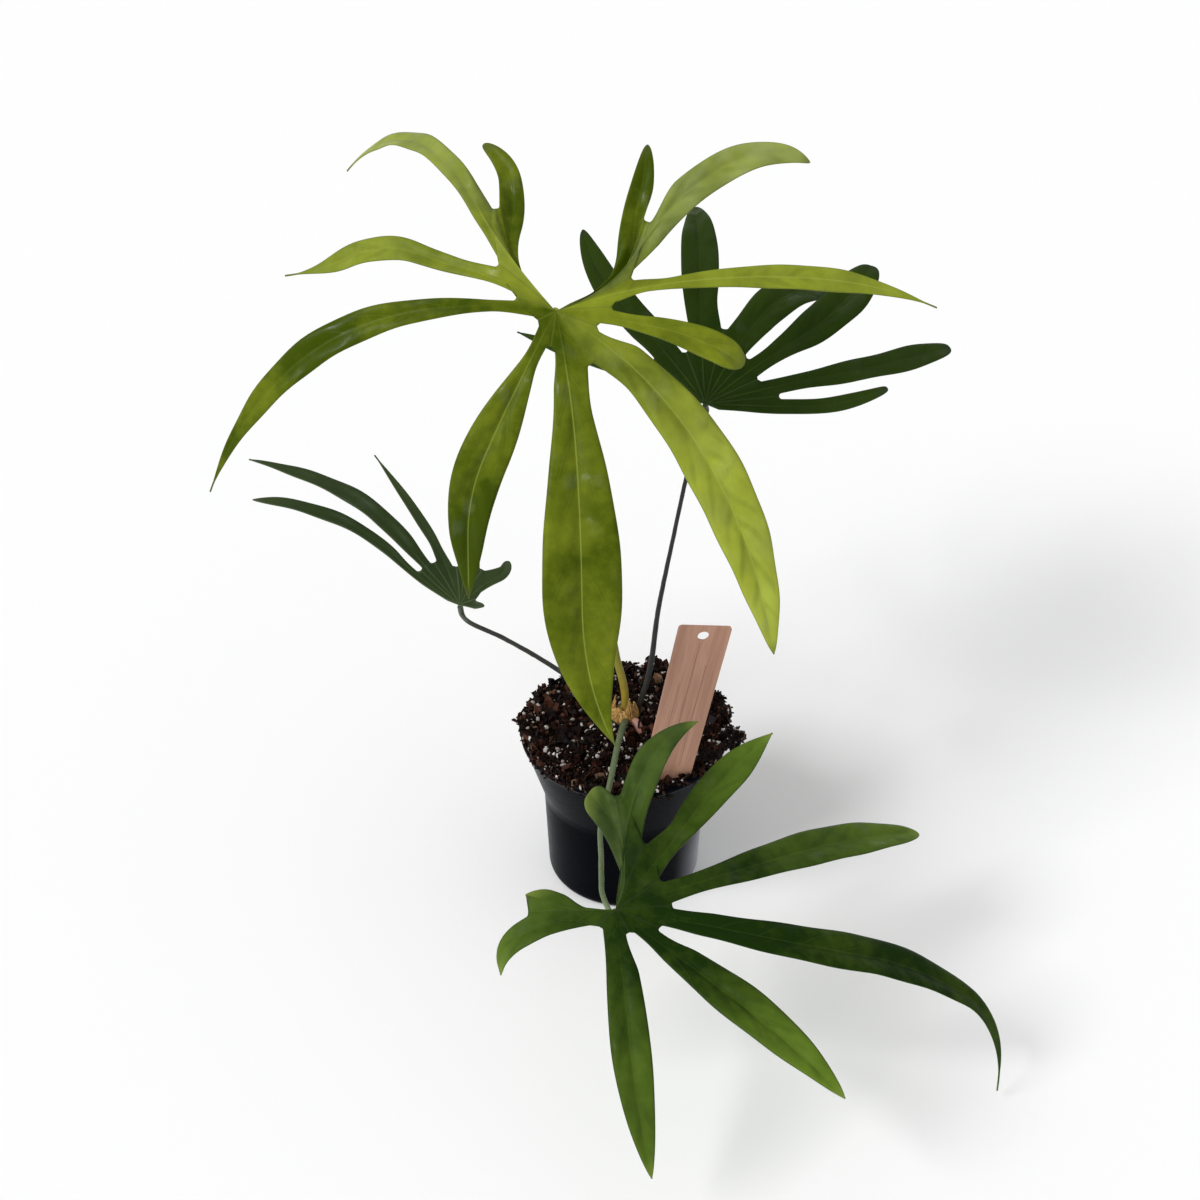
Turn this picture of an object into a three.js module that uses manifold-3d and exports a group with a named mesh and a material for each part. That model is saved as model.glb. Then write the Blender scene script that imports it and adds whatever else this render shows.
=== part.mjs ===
// A potted anthurium pedatoradiatum: a young aroid house plant with four pedately
// lobed leaves, in a round black nursery pot with a flared collar, and a plain
// wooden plant label stuck in the potting mix.
//
// Millimetres, +Z up. The origin is the centre of the pot's base, on the surface
// that the pot stands on. The front of the plant looks along -Y.

import * as THREE from 'three';
import { mergeVertices } from 'three/addons/utils/BufferGeometryUtils.js';
import Module from 'manifold-3d';

const wasm = await Module();
wasm.setup();

// Driving dimensions

const GAP = 0.3; // clearance that neighbouring pieces keep
const LATHE_SEGMENTS = 48; // facets round the pot and round the mix in it

const POT = {
  height: 87,
  baseRadius: 38.5,
  footRound: 3.5, // radius of the rounded edge round the base
  collarFoot: 53, // height at which the wall flares out into the collar
  collarFootRadius: 41.3,
  rimRadius: 52,
  lip: 1.2, // height and overhang of the rolled lip
  wall: 1.3,
  floor: 2,
  drainHoles: 8,
  drainHoleRadius: 3.5,
  drainRingRadius: 28,
};

const SOIL = {
  edgeHeight: 89.5, // where the mix meets the wall, at the back and the sides
  frontDip: 7, // how much lower it lies along the front
  frontBearing: -100, // the middle of the dip and how far it reaches to each side
  frontReach: 62,
  crownHeight: 92.5,
  relief: 1.1, // height of the crumbs and hollows
  brim: POT.rimRadius - POT.lip - POT.wall - GAP, // its radius inside the rim
  rimClearance: 12, // how far below the rim nothing of it passes the wall
};

// Clumps of bark that stand up from the mix or hang over the rim: bearing in
// degrees, distance from the axis, how far the middle stands above the mix, size.
const CLUMPS = [
  { bearing: -13, distance: 52.5, stands: 1.6, size: 6.2 },
  { bearing: 6, distance: 50, stands: 1.5, size: 5 },
  { bearing: -32, distance: 49, stands: 2.2, size: 4.6 },
  { bearing: 22, distance: 49.5, stands: 1.4, size: 4 },
  { bearing: 45, distance: 47, stands: 1.4, size: 4.2 },
  { bearing: 70, distance: 47.5, stands: 1.8, size: 4.6 },
  { bearing: 100, distance: 44, stands: 1, size: 4 },
  { bearing: 128, distance: 44, stands: 1, size: 4.6 },
  { bearing: 150, distance: 45, stands: 1, size: 4 },
  { bearing: 178, distance: 49, stands: 1.8, size: 4.6 },
  { bearing: 197, distance: 45, stands: 0.6, size: 4.4 },
  { bearing: 222, distance: 36, stands: 0.6, size: 5 },
  { bearing: 160, distance: 30, stands: 0.6, size: 4.4 },
  { bearing: 60, distance: 26, stands: 0.5, size: 4.2 },
  { bearing: -12, distance: 30, stands: 0.6, size: 5 },
  { bearing: 250, distance: 27, stands: 0.5, size: 4.6 },
];

const LABEL = {
  width: 24, // at the soil line
  topWidth: 25.6,
  thickness: 1.2,
  cornerRadius: 2.5,
  holeRadius: 2.75,
  holeBelowTop: 6,
  shoulder: 6, // depth below the soil line at which the foot starts to taper
  foot: 29, // depth of the point below the soil line
  soilPoint: [19.2, -36.5, 82.5], // middle of the label at the soil line
  topPoint: [36.6, -43.5, 183], // middle of its top edge
  yaw: 9, // degrees that its face turns away from the front
};

const STEM = {
  radius: 6.4,
  neckRadius: 4.6,
  bottom: 74,
  shoulder: 95,
  top: 99,
  centre: [0, 2],
};

const BLADE = {
  margin: 0.7, // thickness at the margin
  rib: 1.3, // thickness over the midrib near the hub
  fold: 0.16, // rise of each half blade towards its margin, per mm of width
  wave: 0.9, // height of the waves along the margin
  waveLength: 34,
  fullWaveHalfWidth: 8, // a lobe narrower than this to each side waves less
  tipWidth: 0.8,
  slit: 0.8, // least distance from a margin to the line midway to the next lobe
  webRows: 3, // rows of facets from the hub to a parting
  freeRows: 12, // rows from a parting to the tip
  rootLength: 7, // distance over which the two outermost margins leave the hub
  rootShare: 0.8, // their width there, as a share of the lobe's
  easeLength: 18, // longest distance over which a margin leaves its parting
};

// The four leaves. A blade's hub is where its petiole joins it. Azimuth is the
// compass bearing of the blade's own forward direction, tilt how far that points
// below the horizontal and roll how far the blade leans about it, in degrees.
// Each lobe is described along its midrib, from the hub to the tip, at evenly
// spaced stations: heading is the bearing in the plane of the blade, droop how far
// the midrib has bent down out of that plane. The belly is the station of greatest
// width, from 0 to 1, and base the width near the hub as a share of the greatest.
// A small taper gives a blunt end and a large one a drawn-out point.
// Partings give the distance from the hub at which neighbouring lobes separate.

function lobe(heading, droop, length, width, base, belly, taper) {
  return { heading, droop, length, width, base, belly, taper };
}

const LEAVES = [
  {
    name: '1',
    colour: 0x7f9a2a,
    hub: [-32, 7, 320],
    azimuth: -82,
    tilt: 50,
    roll: 0,
    lobes: [
      lobe([-128, -166, -191, -178, -141], [0, 23.5, 22, 12.5, 21], 98, 11, 0.05, 0.65, 0.4),
      lobe([-143, -167, -163, -142], [0, 23, 60, 89], 186, 11.5, 0.5, 0.65, 1.4),
      lobe([-132, -131, -144, -125.5, -124], [0, 24, 38, 58.5, 40.5], 145, 12.2, 0.25, 0.7, 1.95),
      lobe([-103, -107, -94, -94], [0, 27, 50, 72], 206, 15, 0.23, 0.53, 1.25),
      lobe([-32, -48, -26], [0, 29, 68], 147, 22.8, 0.07, 0.5, 0.9),
      lobe([7, -1, -4, 30], [0, 2, 19, 9], 200, 36, 0.25, 0.62, 1.15),
      lobe([56, 45, 27], [0, 25, 34], 200, 26.5, 0.48, 0.55, 0.75),
      lobe([80, 79, 83], [0, 6, 33], 91, 14, 0.1, 0.87, 0.8),
      lobe([105, 102, 99, 99.5], [0, 11, 19, 37.5], 189, 11.5, 0.1, 0.65, 1.55),
      lobe([103, 129, 120, 124], [0, -19, 6, 62], 150, 14.5, 0.65, 0.6, 0.55),
      lobe([101, 120, 167, 161, 171.5], [0, 13, -18.5, -6.5, 10], 97, 13.5, 0.25, 0.5, 1.25),
    ],
    partings: [60, 34, 19, 11, 17, 31, 20, 26, 38, 62],
  },
  {
    name: '2',
    colour: 0x2f4a26,
    hub: [38, 51, 245],
    azimuth: 74,
    tilt: -30,
    roll: 0,
    lobes: [
      lobe([-84, -71, -50], [0, 11, 2], 89, 8.5, 0.8, 0.6, 0.5),
      lobe([-64, -55, -45], [0, 14, 18], 126, 13.5, 0.4, 0.8, 0.7),
      lobe([-38.5, -28.5, -10.5], [0, 19, 11], 124, 21.8, 0.07, 0.75, 0.35),
      lobe([-12.5, -14.5, -37], [0, 14, 45], 110, 21.2, 0.57, 0.75, 0.5),
      lobe([16, 13, 16], [0, 8, 33], 137, 19, 0.25, 0.62, 0.5),
      lobe([44, 43, 24], [0, 14, 10], 137, 16, 0.65, 0.55, 1.15),
      lobe([65, 69, 62], [0, 15, 16], 115, 11.5, 0.6, 0.45, 1.15),
    ],
    partings: [36, 29, 33, 45, 32, 38],
  },
  {
    name: '3',
    colour: 0x35522a,
    hub: [-80, 4, 160],
    azimuth: 95,
    tilt: -12,
    roll: 8,
    lobes: [
      lobe([-96, -100, -100], [0, 5, 5], 12, 5, 0.6, 0.5, 0.5),
      lobe([-45.5, -62.5, -66.5, -1], [0, -12.5, -1.5, -15], 34, 6.8, 0.6, 0.7, 0.35),
      lobe([-10, -7, -2], [0, -11, -3], 90, 12, 0.6, 0.55, 1.15),
      lobe([8, 23, 35.5], [0, -4, -21], 107, 5.2, 0.17, 0.55, 0.95),
      lobe([29, 39, 55, 58], [0, -20, -4, 5], 149, 9.5, 0.8, 0.5, 0.75),
      lobe([46, 42, 63, 60], [0, -15, -9, 14], 131, 7.5, 0.4, 0.7, 0.55),
    ],
    partings: [9, 25, 25, 31, 30],
  },
  {
    name: '4',
    colour: 0x3f6a22,
    hub: [-5.4, -157.6, 112],
    azimuth: 8.8,
    tilt: 2.5,
    roll: -12.7,
    lobes: [
      lobe([-174, -203.5, -209.5], [0, 2, 2], 41, 11.9, 0.1, 0.75, 0.75),
      lobe([-184, -175.5, -175, -158.5], [0, 10.5, 34.5, 101], 68, 13.9, 0.625, 0.55, 0.85),
      lobe([-93.5, -90, -79.5], [0, 29.5, 38.5], 119, 17.5, 0.625, 0.52, 0.75),
      lobe([-49, -46, -63.5], [0, 4, -7.5], 132, 20.3, 0.3, 0.55, 0.75),
      lobe([-16.5, -17.5, 6, -10, -95.5], [0, 2, 24.5, 34.5, 79.5], 231, 20.3, 0.475, 0.5, 1.75),
      lobe([15.5, 26.5, 27], [0, 15, 29], 178, 19.9, 0.35, 0.66, 0.5),
      lobe([46, 46, 27.5], [0, -8, -20], 117, 16.9, 0.12, 0.74, 0.95),
      lobe([77.5, 69, 52.5, 20], [0, -34.5, -19.5, 2], 102, 15.3, 0.425, 0.6, 0.8),
      lobe([54.5, 96.5, 146], [0, -25.5, -21], 60, 16.9, 0.05, 0.88, 0.3),
    ],
    partings: [40, 16, 14, 22, 26.5, 27, 36.5, 55.5],
  },
];

// Petioles: points along the middle of each one from inside the crown to a short
// way below its blade, where it turns towards the hub and thickens.

const PETIOLES = [
  {
    name: '1',
    colour: 0x8a8a3c,
    route: [
      [0, 2, 90], [0, 3, 108], [-4.5, 7, 128],
      [-8.5, 8.5, 160], [-17, 9, 220], [-28.5, 11, 290],
    ],
    radius: 2,
    topRadius: 1.5,
  },
  {
    name: '2',
    colour: 0x33343a,
    route: [
      [4.5, 4.5, 88], [12, 11.5, 112], [16.5, 18, 148],
      [23, 27, 182], [29.5, 37, 213], [35.5, 46, 235],
    ],
    radius: 1.5,
    topRadius: 1.05,
  },
  {
    name: '3',
    colour: 0x3c4038,
    route: [
      [-3.5, 1, 90], [-9, 3, 99], [-33, 8, 117.5],
      [-59, 4, 140], [-76, 1, 152.5],
    ],
    radius: 1.4,
    topRadius: 1.15,
  },
  {
    name: '4',
    colour: 0x66705a,
    route: [
      [1.5, -1.5, 91], [0, -8.2, 97.4], [-3, -24.2, 98.6], [-7, -55.9, 101.5],
      [-12, -94.6, 104.5], [-11.7, -117, 105.5], [-11.6, -130.3, 105.3], [-11.2, -139.1, 104.3],
    ],
    radius: 1.7,
    topRadius: 1.25,
  },
];

// The bend by which a petiole comes up square to its blade.
const BEND = {
  depth: 7, // how far below the hub it turns
  swelling: 1.25, // it is thicker there than the petiole by this factor
  sides: 8,
  steps: 30,
};

// The nub of an aerial root beside the stem.
const ROOT = {
  route: [[3.8, -2, 93.6], [6, -5, 93.8], [7.6, -7.8, 91.5], [8.4, -9.6, 86]],
  radius: 2.3,
  tipRadius: 1.6,
};

// The dry, torn sleeve round the foot of the newest petiole.
const SHEATH = {
  from: -210, // bearings between which it wraps the stem
  to: 30,
  foot: 94.1,
  height: 8,
  footRadius: 7.1,
  narrowing: 2.6,
  thickness: 0.7,
};

// Vectors and solids

const rad = THREE.MathUtils.degToRad;
const vec = (p) => new THREE.Vector3(p[0], p[1], p[2]);

function manifoldOf(geometry) {
  const bare = geometry.clone();
  for (const name of Object.keys(bare.attributes)) {
    if (name !== 'position') {
      bare.deleteAttribute(name);
    }
  }
  const merged = mergeVertices(bare, 1e-4);
  return new wasm.Manifold(new wasm.Mesh({
    numProp: 3,
    vertProperties: new Float32Array(merged.attributes.position.array),
    triVerts: new Uint32Array(merged.index.array),
  }));
}

function geometryOf(manifold) {
  const mesh = manifold.getMesh();
  const geometry = new THREE.BufferGeometry();
  geometry.setAttribute('position', new THREE.BufferAttribute(new Float32Array(mesh.vertProperties), 3));
  geometry.setIndex(new THREE.BufferAttribute(new Uint32Array(mesh.triVerts), 1));
  geometry.computeVertexNormals();
  return geometry;
}

// A lathe turns its profile about +Y; this one turns [radius, height] about +Z.
function lathe(profile, segments) {
  const geometry = new THREE.LatheGeometry(profile.map(([r, z]) => new THREE.Vector2(r, z)), segments);
  geometry.rotateX(Math.PI / 2);
  return geometry;
}

// A round bar along a smooth curve, its radius given along it, with flat ends.
function bar(points, radiusAt, sides, steps) {
  const curve = new THREE.CatmullRomCurve3(points, false, 'centripetal');
  const frames = curve.computeFrenetFrames(steps, false);
  const positions = [];
  for (let i = 0; i <= steps; i++) {
    const middle = curve.getPointAt(i / steps);
    const radius = radiusAt(i / steps);
    for (let j = 0; j < sides; j++) {
      const angle = (2 * Math.PI * j) / sides;
      const p = middle.clone()
        .addScaledVector(frames.normals[i], radius * Math.cos(angle))
        .addScaledVector(frames.binormals[i], radius * Math.sin(angle));
      positions.push(p.x, p.y, p.z);
    }
  }
  const first = curve.getPointAt(0);
  const last = curve.getPointAt(1);
  positions.push(first.x, first.y, first.z, last.x, last.y, last.z);
  const firstCap = sides * (steps + 1);
  const lastCap = firstCap + 1;
  const index = [];
  for (let j = 0; j < sides; j++) {
    const next = (j + 1) % sides;
    for (let i = 0; i < steps; i++) {
      const a = i * sides + j;
      const b = i * sides + next;
      index.push(a, b, b + sides, a, b + sides, a + sides);
    }
    index.push(firstCap, next, j, lastCap, steps * sides + j, steps * sides + next);
  }
  const geometry = new THREE.BufferGeometry();
  geometry.setAttribute('position', new THREE.Float32BufferAttribute(positions, 3));
  geometry.setIndex(index);
  geometry.computeVertexNormals();
  return geometry;
}

function named(name, geometry, colour, roughness) {
  const material = new THREE.MeshStandardMaterial({ color: colour, roughness, metalness: 0 });
  material.flatShading = true;
  const mesh = new THREE.Mesh(geometry, material);
  mesh.name = name;
  return mesh;
}

// Leaf blades

// The value at station u, from 0 at the hub to 1 at the tip, between even stations.
function along(values, u) {
  const x = u * (values.length - 1);
  const i = Math.min(Math.floor(x), values.length - 2);
  return values[i] + (values[i + 1] - values[i]) * (x - i);
}

function bladeAxes(leaf) {
  const azimuth = rad(leaf.azimuth);
  const tilt = rad(leaf.tilt);
  const forward = new THREE.Vector3(
    Math.cos(azimuth) * Math.cos(tilt),
    Math.sin(azimuth) * Math.cos(tilt),
    -Math.sin(tilt),
  );
  const up = new THREE.Vector3(
    Math.cos(azimuth) * Math.sin(tilt),
    Math.sin(azimuth) * Math.sin(tilt),
    Math.cos(tilt),
  );
  up.applyAxisAngle(forward, rad(-leaf.roll));
  const side = new THREE.Vector3().crossVectors(up, forward);
  return { forward, side, up };
}

// The midrib's direction and the direction across the blade at station u.
function ribDirections(axes, lobe, u) {
  const heading = rad(along(lobe.heading, u));
  const droop = rad(along(lobe.droop, u));
  const ahead = axes.forward.clone().multiplyScalar(Math.cos(heading))
    .addScaledVector(axes.side, Math.sin(heading));
  const across = axes.side.clone().multiplyScalar(Math.cos(heading))
    .addScaledVector(axes.forward, -Math.sin(heading));
  const rise = Math.asin(ahead.z);
  const steepest = rad(-88);
  const turn = rise - Math.max(rise - droop, steepest);
  const hinge = new THREE.Vector3(-ahead.y, ahead.x, 0).normalize();
  ahead.applyAxisAngle(hinge, turn);
  across.applyAxisAngle(hinge, turn);
  return { ahead, across, up: new THREE.Vector3().crossVectors(ahead, across) };
}

// Points along a lobe's midrib, evenly spaced, by adding up short steps.
function midrib(leaf, axes, lobe) {
  const steps = 48;
  const points = [vec(leaf.hub)];
  for (let i = 0; i < steps; i++) {
    const { ahead } = ribDirections(axes, lobe, (i + 0.5) / steps);
    points.push(points[i].clone().addScaledVector(ahead, lobe.length / steps));
  }
  const at = (distance) => {
    const x = Math.min(distance / lobe.length, 1) * steps;
    const i = Math.min(Math.floor(x), steps - 1);
    return points[i].clone().lerp(points[i + 1], x - i);
  };
  const directions = (distance) => ribDirections(axes, lobe, Math.min(distance / lobe.length, 1));
  return { lobe, at, directions };
}

// Half the width of a lobe at a distance from the hub: it widens from its base to
// the belly and then narrows, to a drawn-out point or to a blunt end.
function halfWidth(lobe, distance) {
  const u = Math.min(distance / lobe.length, 1);
  const widest = lobe.width / 2;
  if (u < lobe.belly) {
    const swell = Math.sin((Math.PI / 2) * (u / lobe.belly)) ** 2;
    return widest * (lobe.base + (1 - lobe.base) * swell);
  }
  const v = (u - lobe.belly) / (1 - lobe.belly);
  const narrowing = Math.cos((Math.PI / 2) * v) ** lobe.taper;
  return Math.max(widest * narrowing, BLADE.tipWidth / 2);
}

// Where the lobe's free margin lies at a distance from the hub, on the given side.
// Just past a parting it starts at the parting and eases out to the lobe's width.
// It always keeps clear of the line midway to the neighbouring midrib.
function marginPoint(rib, distance, side, start) {
  const { across, up } = rib.directions(distance);
  const ease = THREE.MathUtils.smoothstep(distance, start.distance, start.distance + start.ease);
  const room = start.neighbour
    ? rib.at(distance).distanceTo(start.neighbour.at(distance)) / 2 - BLADE.slit * ease
    : Infinity;
  const full = Math.min(halfWidth(rib.lobe, distance), room);
  const half = THREE.MathUtils.lerp(start.half, full, ease);
  const height = BLADE.wave * Math.min(half / BLADE.fullWaveHalfWidth, 1);
  const wave = height * Math.sin((2 * Math.PI * distance) / BLADE.waveLength + side);
  const point = rib.at(distance)
    .addScaledVector(across, side * half)
    .addScaledVector(up, half * BLADE.fold * ease + wave * ease);
  return point.addScaledVector(start.offset, 1 - ease);
}

function blade(leaf) {
  const axes = bladeAxes(leaf);
  const ribs = leaf.lobes.map((lobe) => midrib(leaf, axes, lobe));
  const top = [];
  const bottom = [];
  const triangles = [];

  // Each point of the sheet gives one vertex on its upper face and one below.
  const addPoint = (middle, normal, thickness) => {
    top.push(middle.clone().addScaledVector(normal, thickness / 2));
    bottom.push(middle.clone().addScaledVector(normal, -thickness / 2));
    return top.length - 1;
  };
  const hub = addPoint(vec(leaf.hub), axes.up, BLADE.rib);

  // The shared lines between neighbours run midway between their midribs.
  const shared = [];
  for (let k = 0; k + 1 < ribs.length; k++) {
    const line = [hub];
    for (let j = 1; j <= BLADE.webRows; j++) {
      const distance = (leaf.partings[k] * j) / BLADE.webRows;
      const middle = ribs[k].at(distance).lerp(ribs[k + 1].at(distance), 0.5);
      const normal = ribs[k].directions(distance).up.add(ribs[k + 1].directions(distance).up).normalize();
      line.push(addPoint(middle, normal, BLADE.margin));
    }
    shared.push(line);
  }

  ribs.forEach((rib, i) => {
    const rows = BLADE.webRows + BLADE.freeRows;
    const edges = [-1, 1].map((side) => {
      const k = side < 0 ? i - 1 : i;
      const line = shared[k];
      const parting = line ? leaf.partings[k] : BLADE.rootLength;
      const start = {
        distance: parting,
        ease: Math.min(BLADE.easeLength, (rib.lobe.length - parting) * 0.6),
        neighbour: line ? ribs[i + side] : null,
      };
      if (line) {
        const corner = line[BLADE.webRows];
        const offset = top[corner].clone().lerp(bottom[corner], 0.5).sub(rib.at(parting));
        const { across } = rib.directions(parting);
        start.half = side * offset.dot(across);
        start.offset = offset.addScaledVector(across, -side * start.half);
      } else {
        start.half = halfWidth(rib.lobe, parting) * BLADE.rootShare;
        start.offset = new THREE.Vector3();
      }
      return { side, line, parting, start };
    });
    const distanceAt = (parting, row) => (row <= BLADE.webRows
      ? (parting * row) / BLADE.webRows
      : parting + ((rib.lobe.length - parting) * (row - BLADE.webRows)) / BLADE.freeRows);

    const columns = [];
    for (let row = 0; row <= rows; row++) {
      if (row === 0) {
        columns.push([hub, hub, hub]);
        continue;
      }
      const distances = edges.map(({ parting }) => distanceAt(parting, row));
      const middleDistance = (distances[0] + distances[1]) / 2;
      const u = middleDistance / rib.lobe.length;
      const ribThickness = THREE.MathUtils.lerp(BLADE.rib, BLADE.margin, u);
      const ribPoint = addPoint(rib.at(middleDistance), rib.directions(middleDistance).up, ribThickness);
      const [left, right] = edges.map(({ side, line, start }, e) => {
        if (line && row <= BLADE.webRows) {
          return line[row];
        }
        const distance = distances[e];
        const { up, across } = rib.directions(distance);
        if (row <= BLADE.webRows) {
          const half = (start.half * row) / BLADE.webRows;
          return addPoint(rib.at(distance).addScaledVector(across, side * half), up, BLADE.margin);
        }
        return addPoint(marginPoint(rib, distance, side, start), up, BLADE.margin);
      });
      columns.push([left, ribPoint, right]);
    }

    // Both faces are split along the same diagonals.
    for (let row = 0; row < rows; row++) {
      const near = columns[row];
      const far = columns[row + 1];
      for (let c = 0; c < 2; c++) {
        if (row > 0) {
          triangles.push([near[c], far[c + 1], near[c + 1]]);
        }
        triangles.push([near[c], far[c], far[c + 1]]);
      }
    }
  });

  return sheetGeometry(top, bottom, triangles);
}

// Closes a sheet: its upper face, the same face turned over below, and a wall
// along every edge that belongs to one triangle only.
function sheetGeometry(top, bottom, triangles) {
  const count = top.length;
  const index = [];
  const open = new Map();
  for (const [a, b, c] of triangles) {
    index.push(a, b, c, a + count, c + count, b + count);
    for (const [from, to] of [[a, b], [b, c], [c, a]]) {
      const back = `${to},${from}`;
      if (open.has(back)) {
        open.delete(back);
      } else {
        open.set(`${from},${to}`, [from, to]);
      }
    }
  }
  for (const [from, to] of open.values()) {
    index.push(to, from, from + count, to, from + count, to + count);
  }
  const geometry = new THREE.BufferGeometry();
  geometry.setFromPoints([...top, ...bottom]);
  geometry.setIndex(index);
  geometry.computeVertexNormals();
  return geometry;
}

// A petiole ends square to the blade, just clear of its lower face.
function petiole({ route, radius, topRadius }, leaf) {
  const { up } = bladeAxes(leaf);
  const hub = vec(leaf.hub);
  const end = hub.clone().addScaledVector(up, -(BLADE.rib / 2 + GAP));
  const turn = hub.clone().addScaledVector(up, -BEND.depth);
  const radiusAt = (t) => {
    const slim = THREE.MathUtils.lerp(radius, topRadius, Math.min(t * 1.6, 1));
    return slim * THREE.MathUtils.lerp(1, BEND.swelling, THREE.MathUtils.smoothstep(t, 0.93, 0.98));
  };
  return bar([...route.map(vec), turn, end], radiusAt, BEND.sides, BEND.steps);
}

// Pot

function potOuterProfile() {
  const { baseRadius, footRound, collarFoot, collarFootRadius, rimRadius, height, lip } = POT;
  return [
    [baseRadius - footRound, 0],
    [baseRadius - footRound * 0.3, footRound * 0.3],
    [baseRadius, footRound],
    [collarFootRadius - 0.8, collarFoot - 4],
    [collarFootRadius, collarFoot],
    [rimRadius - lip, height - 3 * lip],
    [rimRadius, height - 2 * lip],
    [rimRadius, height - lip / 2],
    [rimRadius - lip / 2, height],
  ];
}

function potInnerProfile(shrink) {
  const { baseRadius, footRound, collarFoot, collarFootRadius, rimRadius, height, wall, floor, lip } = POT;
  return [
    [rimRadius - lip - wall - shrink, height],
    [rimRadius - lip - wall - shrink, height - 3 * lip],
    [collarFootRadius - wall - shrink, collarFoot],
    [baseRadius - wall - shrink, footRound + floor],
    [baseRadius - wall - footRound * 0.5 - shrink, floor + shrink],
  ];
}

function pot() {
  const profile = [
    [0, 0],
    ...potOuterProfile(),
    ...potInnerProfile(0),
    [0, POT.floor],
  ];
  let solid = manifoldOf(lathe(profile, LATHE_SEGMENTS));
  for (let i = 0; i < POT.drainHoles; i++) {
    const angle = (2 * Math.PI * (i + 0.5)) / POT.drainHoles;
    const drill = new THREE.CylinderGeometry(POT.drainHoleRadius, POT.drainHoleRadius, 12, 12);
    drill.rotateX(Math.PI / 2);
    drill.translate(POT.drainRingRadius * Math.cos(angle), POT.drainRingRadius * Math.sin(angle), 0);
    solid = solid.subtract(manifoldOf(drill));
  }
  return geometryOf(solid);
}

// The radius of the pot's inner wall at a height above its floor.
function innerRadius(height) {
  const profile = potInnerProfile(0).reverse();
  const above = profile.findIndex(([, z]) => z >= height);
  if (above < 0) {
    return profile.at(-1)[0];
  }
  const [r0, z0] = profile[above - 1];
  const [r1, z1] = profile[above];
  return THREE.MathUtils.mapLinear(height, z0, z1, r0, r1);
}

// Potting mix

// Lies lower along the front, where the rim shows above it.
function edgeHeight(bearing) {
  const turn = bearing - rad(SOIL.frontBearing);
  const away = Math.atan2(Math.sin(turn), Math.cos(turn)) / rad(SOIL.frontReach);
  return SOIL.edgeHeight - SOIL.frontDip * Math.exp(-(away ** 4));
}

// A crumbly surface: a few waves of unlike length that cross each other.
function crumb(x, y) {
  return (
    Math.sin(x * 0.71 + 1.3) * Math.cos(y * 0.63 - 0.4)
    + 0.7 * Math.sin(x * 0.37 - y * 0.52 + 2.1)
    + 0.5 * Math.cos(x * 1.13 + y * 0.91)
  ) / 2.2;
}

// Height of the mix at a bearing and a distance from the axis.
function soilLevel(bearing, distance) {
  const share = Math.min(distance / SOIL.brim, 1);
  const level = THREE.MathUtils.lerp(SOIL.crownHeight, edgeHeight(bearing), share ** 1.3);
  return level + SOIL.relief * crumb(distance * Math.cos(bearing), distance * Math.sin(bearing));
}

function soilHeap() {
  const rings = 9;
  const sectors = LATHE_SEGMENTS;
  const wall = potInnerProfile(GAP).reverse();
  const freeboard = 8; // depth below the rim of the last ring against the wall
  const positions = [0, 0, wall[0][1]];
  const addRing = (radiusAt, heightAt) => {
    for (let j = 0; j < sectors; j++) {
      const bearing = (2 * Math.PI * j) / sectors;
      const radius = radiusAt(bearing);
      positions.push(radius * Math.cos(bearing), radius * Math.sin(bearing), heightAt(bearing, radius));
    }
  };
  for (const [radius, height] of wall.slice(0, -2)) {
    addRing(() => radius, () => height);
  }
  addRing(() => innerRadius(POT.height - freeboard) - GAP, () => POT.height - freeboard);
  for (let i = rings; i >= 1; i--) {
    const share = i / rings;
    const radiusAt = (bearing) => {
      const radius = SOIL.brim * share;
      return Math.min(radius, innerRadius(soilLevel(bearing, radius)) - GAP);
    };
    addRing(radiusAt, soilLevel);
  }
  positions.push(0, 0, soilLevel(0, 0));
  const ringCount = (positions.length / 3 - 2) / sectors;
  const last = positions.length / 3 - 1;
  const index = [];
  for (let j = 0; j < sectors; j++) {
    const next = (j + 1) % sectors;
    index.push(0, 1 + next, 1 + j);
    for (let i = 0; i + 1 < ringCount; i++) {
      const a = 1 + i * sectors + j;
      const b = 1 + i * sectors + next;
      index.push(a, b, b + sectors, a, b + sectors, a + sectors);
    }
    const top = 1 + (ringCount - 1) * sectors;
    index.push(top + j, top + next, last);
  }
  const geometry = new THREE.BufferGeometry();
  geometry.setAttribute('position', new THREE.Float32BufferAttribute(positions, 3));
  geometry.setIndex(index);
  return geometry;
}

function clump({ bearing, distance, stands, size }) {
  const lump = new THREE.IcosahedronGeometry(size, 1);
  lump.scale(1.15, 0.85, 0.62);
  lump.rotateX(rad(bearing * 3));
  lump.rotateZ(rad(bearing * 5));
  lump.scale(1, 1, 0.75);
  const height = soilLevel(rad(bearing), distance) + stands;
  lump.translate(distance * Math.cos(rad(bearing)), distance * Math.sin(rad(bearing)), height);
  return lump;
}

// What the rim, down to well below it and outwards, keeps free of potting mix.
function rimClearance() {
  const beyond = POT.rimRadius + 20;
  const low = POT.height - SOIL.rimClearance;
  const high = POT.height + GAP;
  return lathe([
    [SOIL.brim, low],
    [beyond, low],
    [beyond, high],
    [SOIL.brim, high],
    [SOIL.brim, low],
  ], LATHE_SEGMENTS);
}

function soil(cutters) {
  let solid = manifoldOf(soilHeap());
  for (const place of CLUMPS) {
    solid = solid.add(manifoldOf(clump(place)));
  }
  solid = solid.subtract(manifoldOf(rimClearance()));
  for (const cutter of cutters) {
    solid = solid.subtract(cutter);
  }
  return geometryOf(solid);
}

// Crown: the short stem, its papery sheath and the nub of an aerial root

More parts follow.
